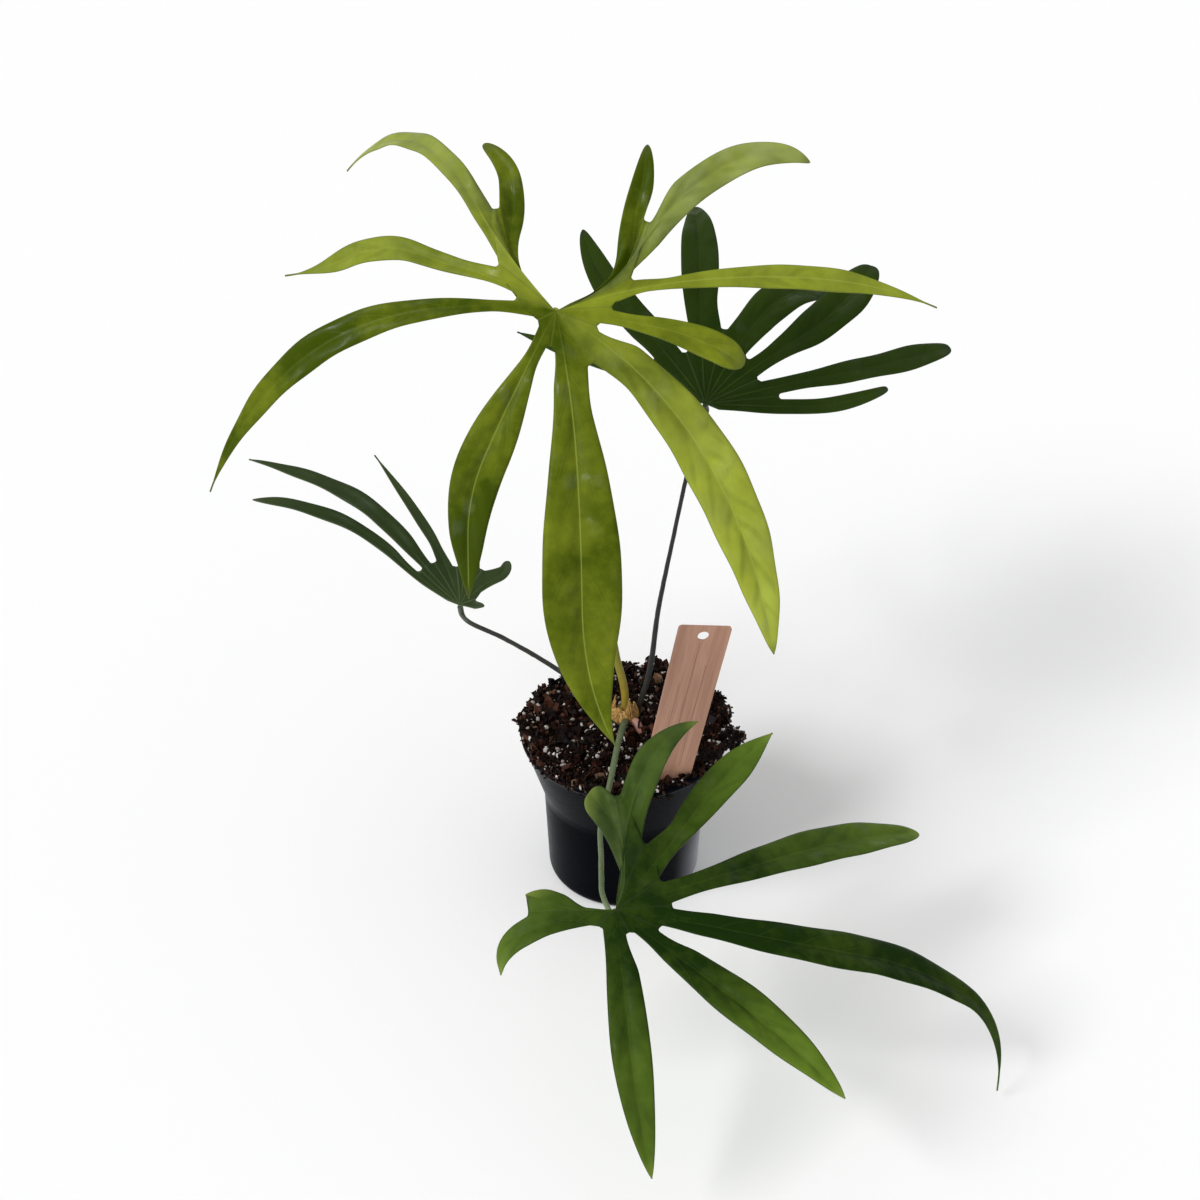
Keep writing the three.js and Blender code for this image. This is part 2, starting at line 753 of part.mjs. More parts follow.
function stemSolid(grow) {
  const { radius, neckRadius, bottom, shoulder, top, centre } = STEM;
  const geometry = lathe([
    [0, bottom - grow],
    [radius * 0.7 + grow, bottom - grow],
    [radius + grow, bottom + 8],
    [radius + 0.6 + grow, shoulder - 5],
    [radius + grow, shoulder],
    [neckRadius + grow, top - 1],
    [neckRadius - 1.5 + grow, top + grow],
    [0, top + grow],
  ], 16);
  geometry.translate(centre[0], centre[1], 0);
  return manifoldOf(geometry);
}

function rootNub(grow) {
  const radiusAt = (t) => THREE.MathUtils.lerp(ROOT.radius, ROOT.tipRadius, t) + grow;
  return manifoldOf(bar(ROOT.route.map(vec), radiusAt, 8, 8));
}

function sheath() {
  const columns = 12;
  const rows = 4;
  const top = [];
  const bottom = [];
  const triangles = [];
  for (let i = 0; i <= rows; i++) {
    const share = i / rows;
    for (let j = 0; j <= columns; j++) {
      const bearing = rad(THREE.MathUtils.lerp(SHEATH.from, SHEATH.to, j / columns));
      const tear = 1.9 * Math.sin(j * 1.9) + 2 * Math.cos(j * 0.8);
      const height = SHEATH.foot + share * (SHEATH.height + tear);
      const radius = SHEATH.footRadius - SHEATH.narrowing * share ** 1.5;
      const out = new THREE.Vector3(Math.cos(bearing), Math.sin(bearing), 0);
      const middle = new THREE.Vector3(STEM.centre[0], STEM.centre[1], height);
      top.push(middle.clone().addScaledVector(out, radius + SHEATH.thickness / 2));
      bottom.push(middle.clone().addScaledVector(out, radius - SHEATH.thickness / 2));
    }
  }
  const width = columns + 1;
  for (let i = 0; i < rows; i++) {
    for (let j = 0; j < columns; j++) {
      const a = i * width + j;
      triangles.push([a, a + 1, a + width + 1], [a, a + width + 1, a + width]);
    }
  }
  return manifoldOf(sheetGeometry(top, bottom, triangles));
}

// Label

function labelPlacement() {
  const foot = vec(LABEL.soilPoint);
  const up = vec(LABEL.topPoint).sub(foot);
  const height = up.length();
  up.normalize();
  const yaw = rad(LABEL.yaw);
  const across = new THREE.Vector3(Math.cos(yaw), Math.sin(yaw), 0);
  across.addScaledVector(up, -across.dot(up)).normalize();
  const out = new THREE.Vector3().crossVectors(across, up);
  return { height, matrix: new THREE.Matrix4().makeBasis(across, up, out).setPosition(foot) };
}

function labelSolid(grow) {
  const { height, matrix } = labelPlacement();
  const half = LABEL.width / 2 + grow;
  const topHalf = LABEL.topWidth / 2 + grow;
  const round = LABEL.cornerRadius;
  const topEdge = height + grow;
  const outline = new THREE.Shape();
  outline.moveTo(0, -LABEL.foot - grow);
  outline.lineTo(half, -LABEL.shoulder);
  outline.lineTo(topHalf, topEdge - round);
  outline.absarc(topHalf - round, topEdge - round, round, 0, Math.PI / 2);
  outline.lineTo(-topHalf + round, topEdge);
  outline.absarc(-topHalf + round, topEdge - round, round, Math.PI / 2, Math.PI);
  outline.lineTo(-half, -LABEL.shoulder);
  outline.closePath();
  if (grow === 0) {
    const hole = new THREE.Path();
    hole.absarc(0, height - LABEL.holeBelowTop, LABEL.holeRadius, 0, 2 * Math.PI, true);
    outline.holes.push(hole);
  }
  const depth = LABEL.thickness + 2 * grow;
  const geometry = new THREE.ExtrudeGeometry(outline, { depth, bevelEnabled: false, curveSegments: 5 });
  geometry.translate(0, 0, -depth / 2);
  geometry.applyMatrix4(matrix);
  return manifoldOf(geometry);
}

// Assembly

const plant = new THREE.Group();
plant.name = 'potted_anthurium_pedatoradiatum';

const petioleBars = PETIOLES.map((spec, i) => ({ spec, solid: manifoldOf(petiole(spec, LEAVES[i])) }));
const petioleRoom = PETIOLES.map((spec, i) => {
  const wider = { ...spec, radius: spec.radius + GAP, topRadius: spec.topRadius + GAP };
  return manifoldOf(petiole(wider, LEAVES[i]));
});

plant.add(named('pot', pot(), 0x15171c, 0.55));

const soilCutters = [stemSolid(GAP), rootNub(GAP), labelSolid(GAP), ...petioleRoom];
plant.add(named('potting_mix', soil(soilCutters), 0x2a1a12, 0.95));

let crown = stemSolid(0);
for (const room of petioleRoom) {
  crown = crown.subtract(room);
}
plant.add(named('stem', geometryOf(crown), 0x7a6a45, 0.7));
plant.add(named('aerial_root', geometryOf(rootNub(0).subtract(stemSolid(GAP))), 0xa88078, 0.7));

let sleeve = sheath().subtract(stemSolid(GAP)).subtract(rootNub(GAP));
for (const room of petioleRoom) {
  sleeve = sleeve.subtract(room);
}
plant.add(named('stem_sheath', geometryOf(sleeve), 0xb89a5c, 0.85));

for (const { spec, solid } of petioleBars) {
  plant.add(named(`petiole_${spec.name}`, geometryOf(solid), spec.colour, 0.5));
}
for (const leaf of LEAVES) {
  plant.add(named(`blade_${leaf.name}`, blade(leaf), leaf.colour, 0.45));
}
plant.add(named('plant_label', geometryOf(labelSolid(0)), 0xac806a, 0.8));

export default plant;
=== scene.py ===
# %% [markdown]
# # A potted Anthurium pedatoradiatum
#
# A young aroid house plant: four leaves with narrow, finger-like lobes on slim stalks,
# a short crown in a mix of bark and perlite, a round black nursery pot with a flared
# collar, and a plain wooden label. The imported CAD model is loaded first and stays
# fixed. Each of its solids is then replaced by a finer piece of the same form, in the
# same place, with a finish of its own.

import math

import bpy
import numpy as np
from mathutils import Matrix, Vector


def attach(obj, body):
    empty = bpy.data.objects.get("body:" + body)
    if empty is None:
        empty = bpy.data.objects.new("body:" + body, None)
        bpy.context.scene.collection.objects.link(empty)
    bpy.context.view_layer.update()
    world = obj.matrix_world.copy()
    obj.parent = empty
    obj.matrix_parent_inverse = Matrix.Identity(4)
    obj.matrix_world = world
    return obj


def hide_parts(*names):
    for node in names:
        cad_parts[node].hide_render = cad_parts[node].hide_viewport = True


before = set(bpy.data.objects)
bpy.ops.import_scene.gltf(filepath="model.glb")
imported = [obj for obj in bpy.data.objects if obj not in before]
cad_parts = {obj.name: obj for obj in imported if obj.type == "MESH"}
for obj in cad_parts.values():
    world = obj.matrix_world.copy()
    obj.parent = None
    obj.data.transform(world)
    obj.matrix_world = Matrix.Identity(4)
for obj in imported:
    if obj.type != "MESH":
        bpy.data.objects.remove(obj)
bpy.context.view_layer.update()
MM = 0.001  # the sizes below are in millimetres, and Blender works in metres
print("CAD nodes:", sorted(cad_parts))

# %% [markdown]
# ## Helpers
#
# Every piece ends as a plain mesh with a finish. The finishes and the Geometry Nodes
# are both made of nodes joined by links. A tree can be wired by hand in the editor, or
# in code, where every number stays readable. Here a small class adds a node, fills its
# sockets with numbers or with links, and returns the value that it puts out. Values can
# be added and multiplied like numbers, so a chain of nodes reads like a formula.

# %% Objects and meshes
def placed(name, data):
    """A new object in the scene."""
    obj = bpy.data.objects.new(name, data)
    bpy.context.scene.collection.objects.link(obj)
    return obj


def plain_mesh(obj):
    """The mesh that comes out of an object's curve or modifiers."""
    depsgraph = bpy.context.evaluated_depsgraph_get()
    return bpy.data.meshes.new_from_object(
        obj.evaluated_get(depsgraph), preserve_all_data_layers=True, depsgraph=depsgraph)


def mesh_of(name, vertices, faces, **attributes):
    """A mesh from arrays in millimetres, smooth shaded, with named point attributes."""
    mesh = bpy.data.meshes.new(name)
    mesh.from_pydata((np.asarray(vertices) * MM).tolist(), [], faces)
    for label, values in attributes.items():
        values = np.asarray(values, np.float32)
        kind, field = ("FLOAT", "value") if values.ndim == 1 else ("FLOAT_VECTOR", "vector")
        mesh.attributes.new(label, kind, "POINT").data.foreach_set(field, values.ravel())
    mesh.shade_smooth()
    return mesh


def table_faces(rows, columns, closed=False, start=0):
    """Faces of a table of points, row after row. A closed table joins up sideways."""
    faces = []
    for a in range(start, start + (rows - 1) * columns, columns):
        for j in range(columns if closed else columns - 1):
            k = (j + 1) % columns
            faces.append((a + j, a + k, a + k + columns, a + j + columns))
    return faces


def ring(radius, turn, height):
    """Points round the Z axis, at these angles. Radius and height may vary along it."""
    return np.stack([radius * np.cos(turn), radius * np.sin(turn), height + 0 * turn], 1)


def around_axis(rings, low, high):
    """Points and faces of a stack of rings, closed by a point on the axis at each end."""
    points = np.vstack([[[0, 0, low]], *rings, [[0, 0, high]]])
    last, n = len(points) - 1, len(rings[0])
    around = [(j, (j + 1) % n) for j in range(n)]
    faces = [(0, 1 + k, 1 + j) for j, k in around]
    faces += table_faces(len(rings), n, closed=True, start=1)
    faces += [(last - n + j, last - n + k, last) for j, k in around]
    return points, faces


def joins(obj, slot, *nodes, skin=None):
    """Says what a finished piece rides on, adds its finish when one is given, and hides the solids
    it stands for. The slot is not used.
    """
    if skin:
        obj.data.materials.append(skin.material)
    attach(obj, "root")
    if nodes:
        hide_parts(*nodes)
    obj.data.calc_loop_triangles()
    print(obj.name, len(obj.data.loop_triangles), "triangles")


print("objects and meshes can be made")

# %% Nodes that read like formulas
class Value:
    """What a node puts out. Each of + - * / and abs() adds one more Math node."""

    def __init__(self, graph, socket):
        self.graph, self.socket = graph, socket

    def __add__(self, other):
        return self.graph.math("ADD", self, other)

    def __sub__(self, other):
        return self.graph.math("SUBTRACT", self, other)

    def __mul__(self, other):
        return self.graph.math("MULTIPLY", self, other)

    def __truediv__(self, other):
        return self.graph.math("DIVIDE", self, other)

    def __abs__(self):
        return self.graph.math("ABSOLUTE", self)


class Graph:
    """Adds nodes to a tree. The place is the first of them, and the noises read it."""

    ROUGHNESS = 0.5  # how strong the finer layers of a noise are

    def __init__(self, tree, place, out=0):
        self.tree = tree
        self.place = self.node(place, out=out)

    def node(self, kind, inputs=None, out=0, **settings):
        new = self.tree.nodes.new(kind)
        for key, value in settings.items():
            setattr(new, key, value)
        for key, value in (inputs or {}).items():
            self.wire(new.inputs[key], value)
        return Value(self, new.outputs[out])

    def wire(self, socket, value):
        if isinstance(value, Value):
            self.tree.links.new(value.socket, socket)
        else:
            socket.default_value = value

    def math(self, operation, *values, clamp=False):
        return self.node("ShaderNodeMath", dict(enumerate(values)), operation=operation,
                         use_clamp=clamp)

    def ramp(self, value, low, high, to_low=0.0, to_high=1.0):
        """A smooth step from to_low to to_high as value goes from low to high."""
        inputs = {0: value, 1: low, 2: high, 3: to_low, 4: to_high}
        return self.node("ShaderNodeMapRange", inputs, interpolation_type="SMOOTHSTEP")

    def mix(self, factor, a, b):
        """A colour between a and b."""
        return self.node("ShaderNodeMix", {0: factor, 6: a, 7: b}, 2, data_type="RGBA")

    def noise(self, scale, detail=3.0, vector=None, seed=None, out="Fac"):
        inputs = {"Vector": vector or self.place, "Scale": scale, "Detail": detail,
                  "Roughness": self.ROUGHNESS}
        if seed is None:
            return self.node("ShaderNodeTexNoise", inputs, out)
        inputs["W"] = seed
        return self.node("ShaderNodeTexNoise", inputs, out, noise_dimensions="4D")


print("node values add, subtract, multiply and divide")

# %% Finishes
def linear(*rgb255):
    """A colour as read off a screen, 0 to 255, in Blender's linear values."""
    parts = [c / 255 for c in rgb255]
    parts = [c / 12.92 if c <= 0.04045 else ((c + 0.055) / 1.055) ** 2.4 for c in parts]
    return (*parts, 1.0)


class Finish(Graph):
    """A procedural material around one Principled shader."""

    ROUGHNESS = 0.55

    def __init__(self, name, **constants):
        self.material = bpy.data.materials.new(name)
        self.material.use_nodes = True
        super().__init__(self.material.node_tree, "ShaderNodeTexCoord", "Object")
        self.shader = self.tree.nodes["Principled BSDF"]
        for key, value in constants.items():
            self.set(key.replace("_", " "), value)

    def set(self, name, value):
        self.wire(self.shader.inputs[name], value)

    def attribute(self, name, out="Fac"):
        return self.node("ShaderNodeAttribute", out=out, attribute_name=name)

    def stretched(self, scale, vector=None):
        """The place, drawn out along an axis, for noise that runs in streaks."""
        return self.node("ShaderNodeMapping", {"Vector": vector or self.place, "Scale": scale})

    def parts(self, vector):
        """The three coordinates of a vector."""
        split = self.tree.nodes.new("ShaderNodeSeparateXYZ")
        self.wire(split.inputs[0], vector)
        return [Value(self, socket) for socket in split.outputs]

    def bump(self, *layers):
        """Fine relief: each layer is a height from 0 to 1 and its depth in metres."""
        inputs = {}
        for height, depth in layers:
            inputs.update({"Height": height, "Distance": depth, "Strength": 1.0})
            inputs["Normal"] = normal = self.node("ShaderNodeBump", inputs)
        self.set("Normal", normal)


print("finishes can be mixed")

# %% Rules for Geometry Nodes
class Rule(Graph):
    """A Geometry Nodes tree with named inputs."""

    def __init__(self, name, **sizes):
        tree = bpy.data.node_groups.new(name, "GeometryNodeTree")
        super().__init__(tree, "GeometryNodeInputPosition")
        tree.interface.new_socket("Geometry", in_out="OUTPUT",
                                  socket_type="NodeSocketGeometry")
        self.takes("Geometry", "Geometry")
        for label, default in sizes.items():
            kind = "Int" if isinstance(default, int) else "Float"
            self.takes(label.replace("_", " "), kind).default_value = default
        self.takes("Finish", "Material")
        sockets = tree.nodes.new("NodeGroupInput").outputs
        self.given = {socket.name: Value(self, socket) for socket in sockets}

    def takes(self, name, kind):
        return self.tree.interface.new_socket(name, in_out="INPUT",
                                              socket_type="NodeSocket" + kind)

    def attribute(self, name, data_type="FLOAT"):
        return self.node("GeometryNodeInputNamedAttribute", {"Name": name},
                         data_type=data_type)

    def store(self, geometry, name, value, domain="POINT"):
        inputs = {"Geometry": geometry, "Name": name, "Value": value}
        return self.node("GeometryNodeStoreNamedAttribute", inputs, domain=domain)

    def random(self, low, high, seed):
        """A random number or vector between two others."""
        first, out, kind = (0, 0, "FLOAT_VECTOR") if isinstance(low, tuple) else (2, 1, "FLOAT")
        return self.node("FunctionNodeRandomValue",
                         {first: low, first + 1: high, "Seed": seed}, out, data_type=kind)

    def scaled(self, vector, factor):
        return self.node("ShaderNodeVectorMath", {0: vector, "Scale": factor},
                         operation="SCALE")

    def moved(self, geometry, offset):
        return self.node("GeometryNodeSetPosition", {"Geometry": geometry, "Offset": offset})

    def roughened(self, geometry, amount, scale, detail):
        """Each point pushed by up to half the amount, as a noise says."""
        noise = self.noise(scale, detail, out="Color")
        push = self.node("ShaderNodeVectorMath", {0: noise, 1: (0.5, 0.5, 0.5)},
                         operation="SUBTRACT")
        return self.moved(geometry, self.scaled(push, amount))

    def close(self, geometry):
        """The tree's end: copies made real, and the finish put on."""
        real = self.node("GeometryNodeRealizeInstances", {"Geometry": geometry})
        done = self.node("GeometryNodeSetMaterial",
                         {"Geometry": real, "Material": self.given["Finish"]})
        self.wire(self.tree.nodes.new("NodeGroupOutput").inputs[0], done)
        print(self.tree.name, "has", len(self.tree.nodes), "nodes")
        return self


def grown(name, mesh, rule, finish, **values):
    """A plain mesh object: what the rule makes of a mesh."""
    obj = placed(name, mesh)
    modifier = obj.modifiers.new("rule", "NODES")
    modifier.node_group = rule.tree
    values["Finish"] = finish.material
    for item in rule.tree.interface.items_tree:
        key = item.name.replace(" ", "_")
        if item.in_out == "INPUT" and key in values:
            modifier[item.identifier] = values[key]
    result = plain_mesh(obj)
    obj.modifiers.clear()
    obj.data = result
    result.name = name
    return obj


print("rules can be grown")

# %% [markdown]
# ## Camera
#
# The photograph looks down on the plant by about a third of a right angle. A camera can
# be found by trial, or worked out from something of known shape. Here the two ellipses
# that the pot's round rim and round base make in the picture gave the height and the
# tilt, and the spacing between them gave the focal length. The lens is a longish one,
# so nothing needs to be shifted.

# %% Camera
TILT = 54  # degrees up from straight down
camera = placed("camera", bpy.data.cameras.new("camera"))
camera.data.lens, camera.data.sensor_width = 72, 36
camera.location = (-0.01225, -0.933, 0.844)
camera.rotation_euler = (math.radians(TILT), 0, 0)
bpy.context.scene.camera = camera
print("camera looks down by", 90 - TILT, "degrees")

# %% [markdown]
# ## Floor and light
#
# The plant stands on white paper, lit by one large soft source high on the left, with
# white walls that fill in the shadows. An area light would brighten the paper unevenly,
# so a sun with a wide disc is used: it lights all of the floor alike, and the width of
# the disc sets how soft the shadows are. The even white surroundings are the world's
# colour. The Standard view keeps the paper white and the greens as saturated as they
# are mixed.

# %% Floor and light
PAPER_HALF, PAPER_TOP = 6000, -0.2  # mm; the top lies just under the pot's base
LIGHT_TRAVEL = Vector((0.65, 0.4, -0.72))
SUN_STRENGTH, SUN_WIDTH = 2.12, math.radians(24)
WALL_STRENGTH = 0.61

corners = [(x * PAPER_HALF, y * PAPER_HALF, PAPER_TOP)
           for x, y in ((-1, -1), (1, -1), (1, 1), (-1, 1))]
floor = placed("floor", mesh_of("floor", corners, [(0, 1, 2, 3)]))
paper = Finish("white_paper", Base_Color=(0.93, 0.93, 0.935, 1), Roughness=0.95)
floor.data.materials.append(paper.material)

sun = placed("window_light", bpy.data.lights.new("window_light", "SUN"))
sun.data.energy, sun.data.angle = SUN_STRENGTH, SUN_WIDTH
sun.rotation_euler = LIGHT_TRAVEL.to_track_quat("-Z", "Y").to_euler()

world = bpy.data.worlds.new("white_walls")
world.use_nodes = True
walls = world.node_tree.nodes["Background"].inputs
walls["Color"].default_value = (1, 1, 1, 1)
walls["Strength"].default_value = WALL_STRENGTH
bpy.context.scene.world = world
bpy.context.scene.view_settings.view_transform = "Standard"
print("sun and walls are set")

# %% [markdown]
# ## The leaves, as numbers
#
# Each leaf of this plant is one blade, cut almost to its middle into lobes that spread
# like fingers. A leaf could be sculpted, or cut out of a picture as a flat card. Here a
# lobe is described the way it grows, along its midrib: the compass heading in the plane
# of the blade, and how far the midrib has drooped below that plane, at evenly spaced
# stations from the hub to the tip. With its length, its width and the place of its
# belly, that gives a narrow form that bends freely in space and never stretches. Three
# more lists are for the finish: the tone of each lobe at the hub and at the tip, from 0
# for deep to 1 for fresh green, which is partly its own colour and partly painted light
# and shade, so that some lobes are lighter or darker for how the light falls on them; how
# pale its midrib is; and how much painted whitish sheen it carries.

# %% Leaf descriptions
def lobe(heading, droop, length, width, base, belly, taper):
    return {"heading": heading, "droop": droop, "length": length, "width": width,
            "base": base, "belly": belly, "taper": taper}


# Painted light in this table: besides each lobe's own green, the tones make some lobes lighter or
# darker for how the light falls on them, and the last list of each leaf is painted whitish sheen.
LEAVES = {
    "1": {
        "hub": (-32, 7, 320), "azimuth": -82, "tilt": 50, "roll": 0, "wave": 0.9,
        "lobes": [
            lobe([-128, -166, -191, -178, -141], [0, 23.5, 22, 12.5, 21], 98, 11, 0.05, 0.65, 0.4),
            lobe([-143, -167, -163, -142], [0, 23, 60, 89], 186, 11.5, 0.5, 0.65, 1.4),
            lobe([-132, -131, -144, -125.5, -124], [0, 24, 38, 58.5, 40.5],
                 145, 12.2, 0.25, 0.7, 1.95),
            lobe([-103, -107, -94, -94], [0, 27, 50, 72], 206, 15, 0.23, 0.53, 1.25),
            lobe([-32, -48, -26], [0, 29, 68], 147, 22.8, 0.07, 0.5, 0.9),
            lobe([7, -1, -4, 30], [0, 2, 19, 9], 200, 36, 0.25, 0.62, 1.15),
            lobe([56, 45, 27], [0, 25, 34], 200, 26.5, 0.48, 0.55, 0.75),
            lobe([80, 79, 83], [0, 6, 33], 91, 14, 0.1, 0.87, 0.45),
            lobe([105, 102, 99, 99.5], [0, 11, 19, 37.5], 189, 11.5, 0.1, 0.65, 1.55),
            lobe([103, 129, 120, 124], [0, -19, 6, 62], 150, 14.5, 0.65, 0.6, 0.55),
            lobe([101, 120, 167, 161, 171.5], [0, 13, -18.5, -6.5, 10], 97, 13.5, 0.25, 0.5, 0.5),
        ],
        "partings": [60, 34, 19, 11, 17, 31, 20, 26, 38, 62],
        "tones": [(0.15, 0.1), (0.42, 0.6), (0.35, 0.45), (0.08, 0.1), (0.18, -0.25), (0.1, 0.3),
                  (0.32, 1.3), (0.27, 0.4), (0.5, 0.62), (0, 0.9), (-0.06, 0.02)],
        "ribs": [0, 0.1, 0.15, 0.1, 0.8, 1, 0.8, 0.25, 0.7, 0.1, 0.1],
        "bloom": [0, 0.18, 0.06, 0, 0, 0, 0.1, 0, 0.04, 0.3, 0],
    },
    "2": {
        "hub": (38, 51, 245), "azimuth": 74, "tilt": -30, "roll": 0, "wave": 0.7,
        "lobes": [
            lobe([-84, -71, -50], [0, 11, 2], 89, 8.5, 0.8, 0.6, 0.3),
            lobe([-64, -55, -45], [0, 14, 18], 126, 13.5, 0.4, 0.8, 0.35),
            lobe([-38.5, -28.5, -10.5], [0, 19, 11], 124, 21.8, 0.07, 0.75, 0.35),
            lobe([-12.5, -14.5, -37], [0, 14, 45], 110, 21.2, 0.57, 0.75, 0.5),
            lobe([16, 13, 16], [0, 8, 33], 137, 19, 0.25, 0.62, 0.5),
            lobe([44, 43, 24], [0, 14, 10], 137, 16, 0.65, 0.55, 0.55),
            lobe([65, 69, 62], [0, 15, 16], 115, 11.5, 0.6, 0.45, 0.9),
        ],
        "partings": [36, 29, 33, 45, 32, 38],
        "tones": [(0.1, 0.4), (0.1, 0.5), (0.15, 0.5), (0.15, 0.6), (0.1, 0.5), (0.15, 0.55),
                  (0.35, 0.8)],
        "ribs": [1, 1, 1, 1, 1, 1, 1],
        "bloom": [0.02, 0.02, 0, 0, 0, 0, 0],
    },
    "3": {
        "hub": (-80, 4, 160), "azimuth": 95, "tilt": -12, "roll": 8, "wave": 0.9,
        "lobes": [
            lobe([-96, -100, -100], [0, 5, 5], 12, 5, 0.6, 0.5, 0.5),
            lobe([-45.5, -62.5, -66.5, -1], [0, -12.5, -1.5, -15], 34, 6.8, 0.6, 0.7, 0.35),
            lobe([-10, -7, -2], [0, -11, -3], 90, 12, 0.6, 0.55, 1.15),
            lobe([8, 23, 35.5], [0, -4, -21], 107, 5.2, 0.17, 0.55, 0.95),
            lobe([29, 39, 55, 58], [0, -20, -4, 5], 149, 9.5, 0.8, 0.5, 0.75),
            lobe([46, 42, 63, 60], [0, -15, -9, 14], 131, 7.5, 0.4, 0.7, 0.55),
        ],
        "partings": [9, 25, 25, 31, 30],
        "tones": [(0.3, 0.3), (0.3, 0.5), (0.3, 0.5), (0.3, 0.6), (0.3, 0.5), (0.2, 0.4)],
        "ribs": [0, 0.5, 1, 1, 1, 1],
        "bloom": [0, 0, 0, 0, 0, 0],
    },
    "4": {
        "hub": (-5.4, -157.6, 112), "azimuth": 8.8, "tilt": 2.5, "roll": -12.7, "wave": 0.3,
        "lobes": [
            lobe([-174, -203.5, -209.5], [0, 2, 2], 41, 11.9, 0.1, 0.75, 0.75),
            lobe([-184, -175.5, -175, -158.5], [0, 10.5, 34.5, 101], 68, 13.9, 0.625, 0.55, 0.85),
            lobe([-93.5, -90, -79.5], [0, 29.5, 38.5], 119, 17.5, 0.625, 0.52, 0.75),
            lobe([-49, -46, -63.5], [0, 4, -7.5], 132, 20.3, 0.3, 0.55, 0.75),
            lobe([-16.5, -17.5, 6, -10, -95.5], [0, 2, 24.5, 34.5, 79.5],
                 231, 20.3, 0.475, 0.5, 1.75),
            lobe([15.5, 26.5, 27], [0, 15, 29], 178, 19.9, 0.35, 0.66, 0.5),
            lobe([46, 46, 27.5], [0, -8, -20], 117, 16.9, 0.12, 0.74, 0.95),
            lobe([77.5, 69, 52.5, 20], [0, -34.5, -19.5, 2], 102, 15.3, 0.425, 0.6, 0.8),
            lobe([54.5, 96.5, 146], [0, -25.5, -21], 60, 16.9, 0.05, 0.88, 0.3),
        ],
        "partings": [40, 16, 14, 22, 26.5, 27, 36.5, 55.5],
        "tones": [(0.22, 0.5), (0.12, 0.85), (-0.06, 0.8), (-0.04, 0.85), (0, 0.22),
                  (-0.06, 0.75), (-0.05, 0.6), (0, 0.36), (0.2, 0.3)],
        "ribs": [0.8, 0.8, 1, 1, 1, 1, 0.8, 0.7, 0.3],
        "bloom": [0.05, 0.03, 0.01, 0, 0, 0.01, 0.01, 0.06, 0.2],
    },
}
print(len(LEAVES), "leaves with", [len(leaf["lobes"]) for leaf in LEAVES.values()], "lobes")

# %% [markdown]
# ## Midribs
#
# A midrib is grown in short steps: at each one, the heading and droop give a direction,
# and the step is added to the last point. The direction across the blade turns with the
# droop as well, so a lobe that hangs down doesn't twist. All steps are worked out at
# once with arrays, which keeps the script quick.

# %% Midribs
STEEPEST = math.radians(-88)  # a drooping lobe never turns back under itself
RIB_STEPS = 240
TIP_WIDTH = 0.8


def turned(vectors, axis, angle):
    """Rows of vectors, each turned about its own axis by its own angle."""
    cos, sin = np.cos(angle)[:, None], np.sin(angle)[:, None]
    along = np.sum(vectors * axis, axis=1)[:, None]
    return vectors * cos + np.cross(axis, vectors) * sin + axis * along * (1 - cos)


def blade_axes(leaf):
    """The blade's forward direction, the direction to its side, and its upper normal."""
    azimuth, tilt, roll = (math.radians(leaf[key]) for key in ("azimuth", "tilt", "roll"))
    level = np.array([math.cos(azimuth), math.sin(azimuth), 0])
    forward = level * math.cos(tilt) - [0, 0, math.sin(tilt)]
    up = level * math.sin(tilt) + [0, 0, math.cos(tilt)]
    up = turned(up[None], forward[None], np.array([-roll]))[0]
    return forward, np.cross(up, forward), up


class Rib:
    """The midrib of one lobe: points along it, and the directions there."""

    def __init__(self, leaf, form):
        self.form, self.length, self.wave = form, form["length"], leaf["wave"]
        self.axes = blade_axes(leaf)
        ahead = self.directions((np.arange(RIB_STEPS) + 0.5) / RIB_STEPS * self.length)[0]
        steps = np.cumsum(ahead, axis=0) * self.length / RIB_STEPS
        self.points = np.vstack([np.zeros(3), steps]) + np.array(leaf["hub"])

    def directions(self, distance):
        """Ahead along the midrib, across the lobe, and up from it."""
        u = np.clip(np.atleast_1d(distance) / self.length, 0, 1)
        heading, droop = (
            np.radians(np.interp(u, np.linspace(0, 1, len(self.form[key])), self.form[key]))
            for key in ("heading", "droop"))
        forward, side, _ = self.axes
        cos, sin = np.cos(heading)[:, None], np.sin(heading)[:, None]
        ahead, across = forward * cos + side * sin, side * cos - forward * sin
        rise = np.arcsin(ahead[:, 2])
        turn = rise - np.maximum(rise - droop, STEEPEST)
        hinge = np.stack([-ahead[:, 1], ahead[:, 0], 0 * rise], axis=1)
        hinge /= np.linalg.norm(hinge, axis=1)[:, None]
        ahead, across = turned(ahead, hinge, turn), turned(across, hinge, turn)
        return ahead, across, np.cross(ahead, across)

    def at(self, distance):
        marks = np.linspace(0, self.length, RIB_STEPS + 1)
        distance = np.clip(np.atleast_1d(distance), 0, self.length)
        return np.stack([np.interp(distance, marks, self.points[:, i]) for i in range(3)], 1)

    def half_width(self, distance):
        """It widens from its base to the belly, then narrows to a point or a blunt end."""
        form = self.form
        u = np.clip(distance / self.length, 0, 1)
        swell = np.sin(np.pi / 2 * np.minimum(u / form["belly"], 1)) ** 2
        v = np.clip((u - form["belly"]) / (1 - form["belly"]), 0, 1)
        narrowing = np.cos(np.pi / 2 * v) ** form["taper"]
        shape = (form["base"] + (1 - form["base"]) * swell) * narrowing
        return np.maximum(form["width"] / 2 * shape, TIP_WIDTH / 2)


ribs_of = {name: [Rib(leaf, form) for form in leaf["lobes"]] for name, leaf in LEAVES.items()}
for name, ribs in ribs_of.items():
    print("leaf", name, "has", round(sum(rib.length for rib in ribs)), "mm of midrib")

